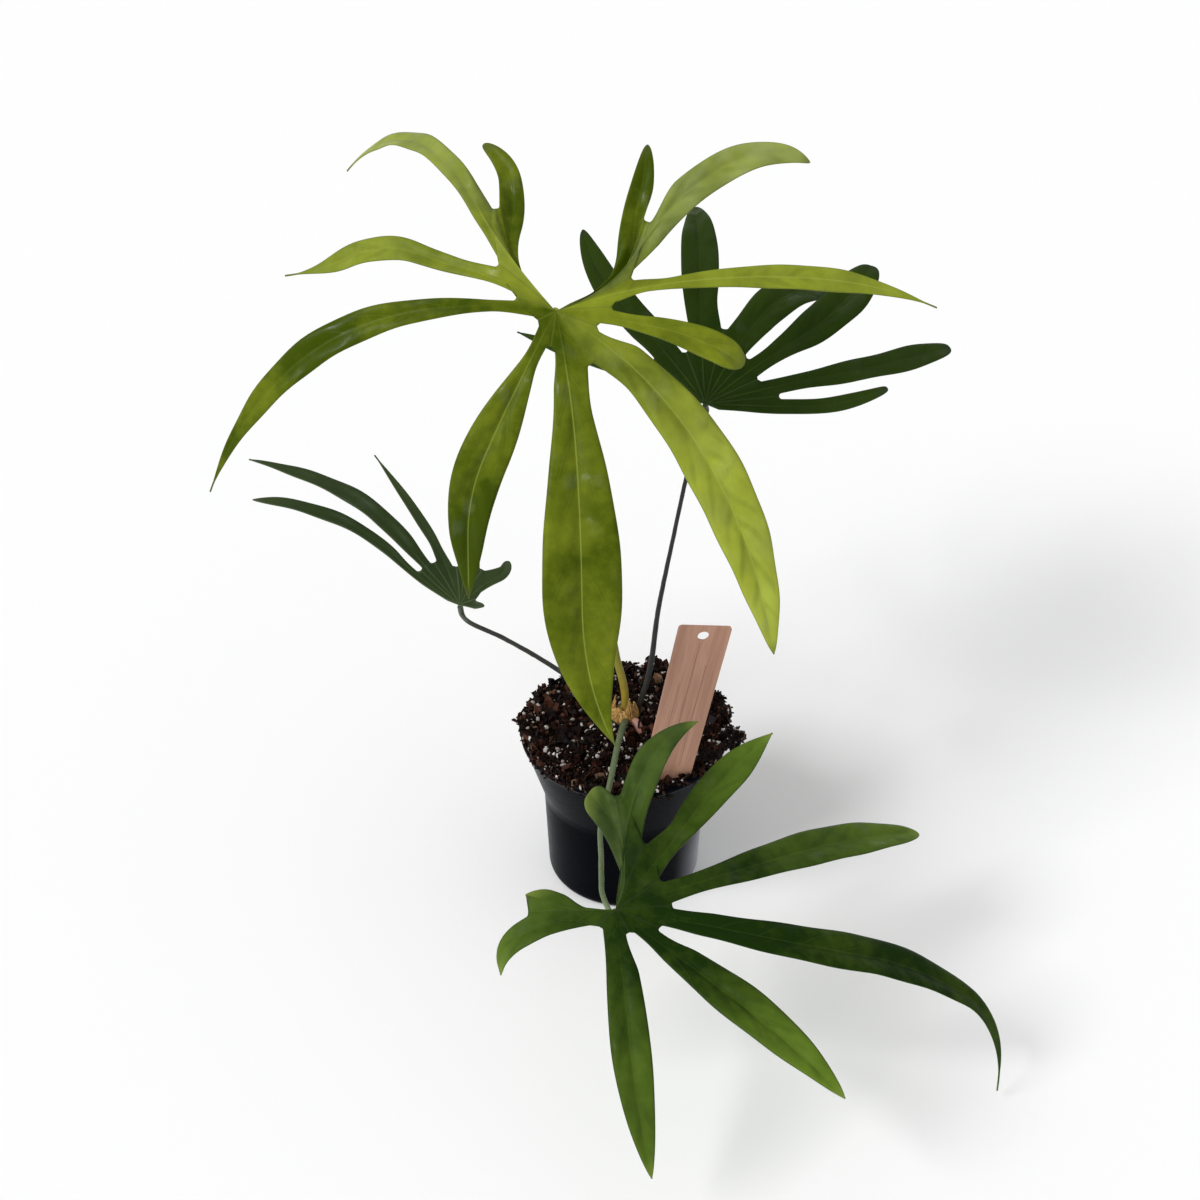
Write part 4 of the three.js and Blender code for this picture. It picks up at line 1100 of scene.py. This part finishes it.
# %% [markdown]
# ## Potting mix
#
# The mix is one body that fills the pot: shredded bark and white grains of perlite. Its
# surface is heaped a little at the crown and lies lower along the front. A crumbly
# surface has far too many pieces to place by hand. So the heap itself is a closed mesh
# with coarse lumps, and a few larger clumps stand up from it or hang over the rim.
# Geometry Nodes scatter three kinds of crumbs over them, each with its own size, count
# and seed: splinters of bark, round crumbs of bark, and grains of perlite, which lie in
# nests.

# %% Heap
GAP = 0.3  # between the mix and the pot
BRIM = INNER_RIM - GAP
CROWN_HEIGHT, EDGE_HEIGHT, FRONT_DIP = 92.5, 89.5, 7
FRONT_BEARING, FRONT_REACH = math.radians(-100), math.radians(62)
BROAD_LUMPS, FINE_LUMPS = 1.1, 0.28
HEAP_RINGS, HEAP_SECTORS = 56, 192
WALL_HEIGHTS = (2.3, 5.5, 20, 38, 53, 66, 76, 79)


def soil_level(x, y):
    """Height of the mix at a place, from its slope and a few crossing waves."""
    bearing, distance = np.arctan2(y, x), np.hypot(x, y)
    turn = bearing - FRONT_BEARING
    away = np.arctan2(np.sin(turn), np.cos(turn)) / FRONT_REACH
    edge = EDGE_HEIGHT - FRONT_DIP * np.exp(-(away ** 4))
    share = np.minimum(distance / BRIM, 1) ** 1.3
    waves = (np.sin(x * 0.71 + 1.3) * np.cos(y * 0.63 - 0.4)
             + 0.7 * np.sin(x * 0.37 - y * 0.52 + 2.1)
             + 0.5 * np.cos(x * 1.13 + y * 0.91)) / 2.2
    return CROWN_HEIGHT + (edge - CROWN_HEIGHT) * share + BROAD_LUMPS * waves


def wall_radius(height):
    """The radius that the mix has against the pot's inner wall."""
    heights = [POT["floor"], POT["foot_round"] + POT["floor"], POT["collar_foot"], LIP_FOOT]
    radii = [INNER_FOOT - BEVEL, INNER_FOOT, INNER_COLLAR, INNER_RIM]
    return np.interp(height, heights, radii) - GAP


def heap_mesh():
    turn = 2 * np.pi * np.arange(HEAP_SECTORS) / HEAP_SECTORS
    rings = [ring(wall_radius(height), turn, height) for height in WALL_HEIGHTS]
    rng = np.random.default_rng(11)
    for share in np.linspace(1, 0.02, HEAP_RINGS):
        x, y, _ = ring(BRIM * share, turn, 0).T
        level = soil_level(x, y)
        fine = rng.normal(0, FINE_LUMPS, HEAP_SECTORS) * min(1, share * 3)
        rings.append(ring(np.minimum(BRIM * share, wall_radius(level)), turn, level + fine))
    return mesh_of("heap", *around_axis(rings, WALL_HEIGHTS[0], soil_level(0.0, 0.0)))


earth = Finish("dark_bark_mix", Specular_IOR_Level=0.1)
grain = earth.noise(650.0, 5.0)
earth.set("Base Color", earth.mix(earth.ramp(grain, 0.35, 0.75), linear(8, 4, 3),
                                  linear(34, 20, 15)))
earth.set("Roughness", earth.ramp(earth.noise(300.0), 0.3, 0.7, 0.55, 0.85))
earth.bump((grain, 0.0012), (earth.noise(2200.0, 4.0), 0.0004))
joins(placed("potting_mix_heap", heap_mesh()), "potting_mix", "potting_mix", skin=earth)

# %% Clumps
CLUMPS = [  # bearing in degrees, distance from the axis, height above the mix, size
    (-13, 52.5, 1.6, 6.2), (6, 50, 1.5, 5), (-32, 49, 2.2, 4.6), (22, 49.5, 1.4, 4),
    (45, 47, 1.4, 4.2), (70, 47.5, 1.8, 4.6), (100, 44, 1, 4), (128, 44, 1, 4.6),
    (150, 45, 1, 4), (178, 49, 1.8, 4.6), (197, 45, 0.6, 4.4), (222, 36, 0.6, 5),
    (160, 30, 0.6, 4.4), (60, 26, 0.5, 4.2), (-12, 30, 0.6, 5), (250, 27, 0.5, 4.6)]
CLUMP_ROWS, CLUMP_COLUMNS = 12, 24


def clumps_mesh(name):
    """Rough balls of mix, squashed a little, flat where they rest on the rim."""
    rng = np.random.default_rng(17)
    rows, columns, points, faces = CLUMP_ROWS, CLUMP_COLUMNS, [], []
    tilt, turn = np.meshgrid(np.linspace(0, np.pi, rows + 1)[1:-1],
                             2 * np.pi * np.arange(columns) / columns, indexing="ij")
    ball = np.stack([np.sin(tilt) * np.cos(turn), np.sin(tilt) * np.sin(turn),
                     np.cos(tilt)], -1).reshape(-1, 3)
    ball = np.vstack([[[0, 0, 1]], ball, [[0, 0, -1]]])
    for bearing, distance, stands, size in CLUMPS:
        x, y = (distance * f(math.radians(bearing)) for f in (math.cos, math.sin))
        rough = np.sin(ball @ rng.uniform(-5, 5, (3, 6)) + rng.uniform(0, 6, 6)).sum(1)
        clump = ball * (1 + 0.12 * rough)[:, None] * size * np.array([1, 1, 0.75])
        clump += (x, y, float(soil_level(x, y)) + stands)
        outside = np.hypot(clump[:, 0], clump[:, 1]) > BRIM
        clump[outside, 2] = np.maximum(clump[outside, 2], POT["height"] + GAP)
        first, last = len(points), len(points) + len(clump) - 1
        points += clump.tolist()
        for j in range(columns):
            k = (j + 1) % columns
            faces.append((first, first + 1 + j, first + 1 + k))
            faces.append((last, last - columns + k, last - columns + j))
            for i in range(rows - 2):
                a, b = (first + 1 + i * columns + c for c in (j, k))
                faces.append((a, a + columns, b + columns, b))
    return mesh_of(name, points, faces)


joins(placed("mix_clumps", clumps_mesh("mix_clumps")), "potting_mix", skin=earth)

# %% Crumb rule
def crumb_rule(name, shape):
    """Scatters a small shape over a surface, each copy turned, scaled and shaded."""
    rule = Rule(name, Count=1000.0, Least=1.0, Most=3.0, Sink=0.2, Nests=0.0, Seed=1)
    given, seed = rule.given, rule.given["Seed"]
    nest = rule.ramp(rule.noise(85.0, 2.0), 0.48, 0.62, -1.0, 0.0)
    ground = rule.node("GeometryNodeDistributePointsOnFaces", {
        "Mesh": given["Geometry"], "Seed": seed,
        "Density": given["Count"] * (given["Nests"] * nest + 1.0)})
    size = rule.math("POWER", rule.random(0.0, 1.0, seed + 1.0), 2.0)
    size = (given["Least"] + size * (given["Most"] - given["Least"])) * MM
    turn = rule.random((0, 0, 0), (6.28, 6.28, 6.28), seed + 2.0)
    form = rule.random((0.55, 0.45, 0.35), (1.35, 1.0, 0.8), seed + 3.0)
    copies = rule.node("GeometryNodeInstanceOnPoints", {
        "Points": ground, "Instance": shape(rule), "Rotation": turn,
        "Scale": rule.scaled(form, size)})
    drop = rule.node("ShaderNodeCombineXYZ", {"Z": size * given["Sink"] * -1.0})
    copies = rule.node("GeometryNodeTranslateInstances", {
        "Instances": copies, "Translation": drop, "Local Space": False})
    shade = rule.random(0.0, 1.0, seed + 4.0)
    return rule.close(rule.store(copies, "shade", shade, "INSTANCE"))


def lump_shape(rule):
    """A knobbly lump with a radius of one: a small ball pushed about by noise."""
    ball = rule.node("GeometryNodeMeshIcoSphere", {"Radius": 1.0, "Subdivisions": 2})
    return rule.roughened(ball, 0.9, 1.3, 1.0)


def chip_shape(rule):
    """A flat splinter of bark: a box with a few divisions, torn by noise."""
    box = rule.node("GeometryNodeMeshCube", {
        "Size": (2.6, 1.3, 0.6), "Vertices X": 4, "Vertices Y": 3, "Vertices Z": 2})
    return rule.roughened(box, 1.5, 1.1, 2.0)


chips, lumps = crumb_rule("bark_scatter", chip_shape), crumb_rule("lump_scatter", lump_shape)

# %% Crumb finishes
def crumb_finish(name, stops, roughness, wet):
    """Colours picked by each crumb's own shade, with grain over them."""
    skin = Finish(name, Specular_IOR_Level=wet)
    ramp = skin.tree.nodes.new("ShaderNodeValToRGB")
    for _ in stops[2:]:
        ramp.color_ramp.elements.new(0.5)
    for element, (position, *colour) in zip(ramp.color_ramp.elements, stops):
        element.position, element.color = position, linear(*colour)
    skin.wire(ramp.inputs[0], skin.attribute("shade"))
    grain = skin.noise(1400.0, 4.0)
    picked = Value(skin, ramp.outputs[0])
    skin.set("Base Color", skin.mix(skin.ramp(grain, 0.3, 0.75, 0.55, 0.0), picked,
                                    (0, 0, 0, 1)))
    skin.set("Roughness", roughness)
    skin.bump((grain, 0.0003))
    return skin


bark_skin = crumb_finish("bark_chips", [
    (0.0, 10, 4, 2), (0.55, 28, 14, 10), (0.86, 58, 30, 21), (0.97, 92, 58, 42),
    (1.0, 150, 118, 92)], 0.45, 0.1)
perlite_skin = crumb_finish("perlite", [
    (0.0, 170, 160, 150), (0.5, 214, 206, 198), (1.0, 246, 242, 236)], 0.85, 0.2)
print("bark has 5 colours and perlite 3")

# %% Crumbs
RIM_TOP, RIM_FALL, RIM_ROUND = POT["height"] + 0.5, 1.2, 50.5


def ground_mesh(inner, outer, first, last, over_rim=False):
    """The upper surface of the mix between two radii and two bearings in degrees."""
    radii = np.linspace(inner, outer, 14)
    bearings = np.radians(np.linspace(first, last, 90))
    rows = []
    for radius in radii:
        row = ring(radius, bearings, 0)
        row[:, 2] = soil_level(row[:, 0], row[:, 1])
        if over_rim:
            row[:, 2] = np.maximum(row[:, 2], RIM_TOP - RIM_FALL * max(radius - RIM_ROUND, 0))
        rows.append(row)
    faces = [(a, d, c, b) for a, b, c, d in table_faces(len(radii), len(bearings))]
    return mesh_of("ground", np.vstack(rows), faces)


GROUNDS = {
    "top": ground_mesh(6.5, BRIM, 0, 360),
    "front rim": ground_mesh(BRIM - 3, 51.6, 150, 292, True),
    "back rim": ground_mesh(BRIM - 3, 51.6, -60, 150, True),
    "clumps": clumps_mesh("ground"),
}
CRUMBS = [  # ground, shape, finish, count per square metre, least and most size, sink
    # as a share of the size, how much they nest, seed
    ("bark_chips", "top", chips, bark_skin, 170000.0, 1.1, 4.2, 0.3, 0.0, 3),
    ("bark_crumbs", "top", lumps, bark_skin, 240000.0, 0.6, 1.9, 0.3, 0.0, 9),
    ("rim_chips", "front rim", chips, bark_skin, 420000.0, 0.9, 2.6, 0.1, 0.0, 14),
    ("rim_crumbs", "front rim", lumps, bark_skin, 420000.0, 0.6, 1.8, 0.1, 0.0, 21),
    ("back_crumbs", "back rim", lumps, bark_skin, 240000.0, 0.7, 1.9, 0.3, 0.0, 27),
    ("clump_chips", "clumps", chips, bark_skin, 300000.0, 0.8, 2.4, 0.2, 0.0, 51),
    ("clump_perlite", "clumps", lumps, perlite_skin, 70000.0, 0.5, 1.6, 0.0, 0.6, 57),
    ("perlite_grains", "top", lumps, perlite_skin, 170000.0, 0.5, 1.9, -0.15, 0.88, 33),
    ("rim_perlite", "front rim", lumps, perlite_skin, 90000.0, 0.5, 1.7, -0.3, 0.6, 41),
]
for name, ground, rule, skin, *sizes in CRUMBS:
    values = dict(zip(("Count", "Least", "Most", "Sink", "Nests", "Seed"), sizes))
    joins(grown(name, GROUNDS[ground], rule, skin, **values), "potting_mix")

# %% [markdown]
# ## Label
#
# A thin slip of light wood with rounded corners and a hole, pushed into the mix at a
# slant. It is drawn flat, as an outline with the hole in it, and thickened with a small
# bevel. Before it is put in place, each point keeps its flat place, so that the grain
# and the ruled lines run along the label and not along the room's axes.

# %% Label shape
LABEL = {"width": 24, "top_width": 25.6, "thickness": 1.2, "bevel": 0.18, "corner": 1.8,
         "hole": 2.75, "hole_below": 6, "shoulder": 6, "foot": 29}
SOIL_POINT, TOP_POINT = np.array([19.2, -36.5, 82.5]), np.array([36.6, -43.5, 183])
LABEL_YAW = math.radians(9)
label_height = float(np.linalg.norm(TOP_POINT - SOIL_POINT))


def arc(x, y, radius, start, end, steps=10):
    angles = np.radians(np.linspace(start, end, steps))
    return [(x + radius * math.cos(a), y + radius * math.sin(a)) for a in angles]


def label_outline():
    """A flat curve with the label's outline and its hole, thickened and bevelled."""
    half, corner, bevel = LABEL["width"] / 2, LABEL["corner"], LABEL["bevel"]
    across, top = LABEL["top_width"] / 2 - corner, label_height - corner
    outline = [(0, -LABEL["foot"]), (half, -LABEL["shoulder"]),
               *arc(across, top, corner, 0, 90), *arc(-across, top, corner, 90, 180),
               (-half, -LABEL["shoulder"])]
    hole = arc(0, label_height - LABEL["hole_below"], LABEL["hole"], 0, 345, 24)
    curve = bpy.data.curves.new("label", "CURVE")
    curve.dimensions, curve.fill_mode = "2D", "BOTH"
    curve.extrude = (LABEL["thickness"] / 2 - bevel) * MM
    curve.bevel_depth, curve.bevel_resolution, curve.offset = bevel * MM, 2, -bevel * MM
    for loop in (outline, hole):
        spline = curve.splines.new("POLY")
        spline.points.add(len(loop) - 1)
        for point, (x, y) in zip(spline.points, loop):
            point.co = (x * MM, y * MM, 0, 1)
        spline.use_cyclic_u = True
    return curve


drawn = placed("label_outline", label_outline())
label_mesh = plain_mesh(drawn)
bpy.data.objects.remove(drawn)
flat_places = np.array([v.co for v in label_mesh.vertices], np.float32)
label_mesh.attributes.new("flat", "FLOAT_VECTOR", "POINT").data.foreach_set(
    "vector", flat_places.ravel())
up = (TOP_POINT - SOIL_POINT) / label_height
across = np.array([math.cos(LABEL_YAW), math.sin(LABEL_YAW), 0])
across -= up * np.dot(across, up)
across /= np.linalg.norm(across)
axes = zip(across, up, np.cross(across, up), SOIL_POINT * MM)
label_mesh.transform(Matrix([*axes, (0, 0, 0, 1)]))
label_mesh.shade_smooth()
label_mesh.set_sharp_from_angle(angle=math.radians(35))
print("the label has", len(flat_places), "points")

# %% Label finish
wood = Finish("label_wood", Specular_IOR_Level=0.3)
flat = wood.attribute("flat", "Vector")
fibre = wood.stretched((1, 0.035, 1), flat)
grain = wood.noise(1500.0, 5.0, vector=fibre)
bands = wood.noise(260.0, 2.0, vector=fibre)
timber = wood.mix(wood.ramp(bands, 0.3, 0.7), linear(170, 127, 106), linear(188, 146, 124))
timber = wood.mix(wood.ramp(grain, 0.35, 0.8, 0.0, 0.45), timber, linear(146, 102, 84))
label_x, label_y, _ = wood.parts(flat)
FADE = 0.3  # mm over which a ruled line starts and ends


def ruled(x, low, high, width):
    """A thin line drawn lengthwise on the label, in millimetres from its middle."""
    line = wood.ramp(abs(label_x - x * MM), width * MM, width * 0.55 * MM)
    return (line * wood.ramp(label_y, low * MM, (low + FADE) * MM)
            * wood.ramp(label_y, (high + FADE) * MM, high * MM))


lines = wood.math("MAXIMUM", ruled(-0.8, 18, 92, 0.28), wood.math(
    "MAXIMUM", ruled(-5.6, 28, 66, 0.2), ruled(5.0, 12, 78, 0.24)))
ink = lines * wood.ramp(grain, 0.2, 0.6, 0.7, 0.45)
wood.set("Base Color", wood.mix(ink, timber, linear(92, 62, 52)))
wood.set("Roughness", wood.ramp(grain, 0.3, 0.8, 0.5, 0.68))
wood.bump((grain, 0.00012))
joins(placed("wooden_label", label_mesh), "label_wood", "plant_label", skin=wood)

# %% [markdown]
# ## Crown
#
# All the stalks spring from a short, knobbly stem in the middle of the pot. The foot of
# the newest stalk is still wrapped in the dry, torn sheath that covered it as a bud, and
# a stubby aerial root curls down beside it. The stem is turned like the pot, with leaf
# scars as shallow rings; the sheath is a thin sheet with a torn edge; the root is a
# short swept line.

# %% Stem and root
STEM_CENTRE = np.array([0, 2, 0])
STEM_RADIUS = 6.4
STEM_PROFILE = [(0, 74), (4.5, 74), (6.4, 82), (7, 90), (6.4, 95), (4.6, 98), (3.1, 99),
                (0, 99)]


def knobbly(points):
    """Leaf scars round the stem, and an uneven skin."""
    bearing = np.arctan2(points[:, 1], points[:, 0])
    swell = 0.25 * np.sin(points[:, 2] * 2.4 + 0.6 * np.sin(bearing)) + 0.2 * np.sin(
        3 * bearing + points[:, 2])
    share = np.hypot(points[:, 0], points[:, 1]) / STEM_RADIUS
    points = points * np.stack([1 + 0.04 * swell * share] * 2 + [np.ones(len(points))], 1)
    return points + STEM_CENTRE


stem_points, stem_faces = turned_about(divided(rounded(STEM_PROFILE, 1.0), 0.7), 64)
bark = Finish("stem_bark", Specular_IOR_Level=0.3)
bark.set("Base Color", bark.mix(bark.ramp(bark.noise(300.0, 4.0), 0.35, 0.7),
                                linear(70, 58, 30), linear(128, 118, 62)))
bark.set("Roughness", 0.7)
bark.bump((bark.noise(900.0, 4.0), 0.0005))
stem = placed("stem_crown", mesh_of("stem_crown", knobbly(stem_points), stem_faces))
joins(stem, "stem_bark", "stem", skin=bark)

ROOT_POINTS = [[3.8, -2, 93.6], [6, -5, 93.8], [7.6, -7.8, 91.5], [8.4, -9.6, 86]]
root_skin = stalk_finish("root_skin", linear(150, 84, 60), linear(176, 128, 118),
                         linear(150, 110, 100), 0.5)
root = grown("aerial_root_nub", line_mesh("line", smooth_line(ROOT_POINTS, 40)), stalk_rule,
             root_skin, Foot_radius=2.3, Top_radius=1.6, Slim_by=1.0, Swelling=1.0,
             Grain=500.0, Unevenness=0.5)
joins(root, "root_skin", "aerial_root")

# %% Sheath
SHEATH = {"from": -210, "to": 30, "foot": 94.1, "height": 8, "radius": 7.1,
          "narrowing": 2.6, "thickness": 0.5}
SHEATH_ROWS, SHEATH_COLUMNS, TEETH = 24, 96, 12


def sheath_mesh():
    rng = np.random.default_rng(5)
    fray = np.convolve(rng.normal(0, 1.2, SHEATH_COLUMNS + 1), [0.25, 0.5, 0.25], "same")
    j = np.arange(SHEATH_COLUMNS + 1) * TEETH / SHEATH_COLUMNS
    bearing = np.radians(SHEATH["from"] + (SHEATH["to"] - SHEATH["from"]) * j / TEETH)
    layer = []
    for side in (0.5, -0.5):
        for i in range(SHEATH_ROWS + 1):
            share = i / SHEATH_ROWS
            tear = 1.6 * np.sin(j * 1.9) + 1.8 * np.cos(j * 0.8) + 0.5 * fray * share ** 3
            height = SHEATH["foot"] + share * (SHEATH["height"] + tear)
            radius = SHEATH["radius"] - SHEATH["narrowing"] * share ** 1.5
            radius = radius + 0.18 * np.sin(j * 11) * share + side * SHEATH["thickness"]
            layer.append(ring(radius, bearing, height))
    points = np.vstack(layer) + STEM_CENTRE
    outer = table_faces(SHEATH_ROWS + 1, SHEATH_COLUMNS + 1)
    return mesh_of("torn_sheath", points, closed_sheet(outer, len(points) // 2))


dry = Finish("dry_sheath", Specular_IOR_Level=0.25)
fibres = dry.noise(1500.0, 4.0, vector=dry.stretched((1, 1, 0.12)))
dry.set("Base Color", dry.mix(dry.ramp(fibres, 0.3, 0.75), linear(104, 66, 28),
                              linear(204, 166, 96)))
dry.set("Roughness", 0.75)
dry.bump((fibres, 0.0004))
joins(placed("torn_sheath", sheath_mesh()), "dry_sheath", "stem_sheath", skin=dry)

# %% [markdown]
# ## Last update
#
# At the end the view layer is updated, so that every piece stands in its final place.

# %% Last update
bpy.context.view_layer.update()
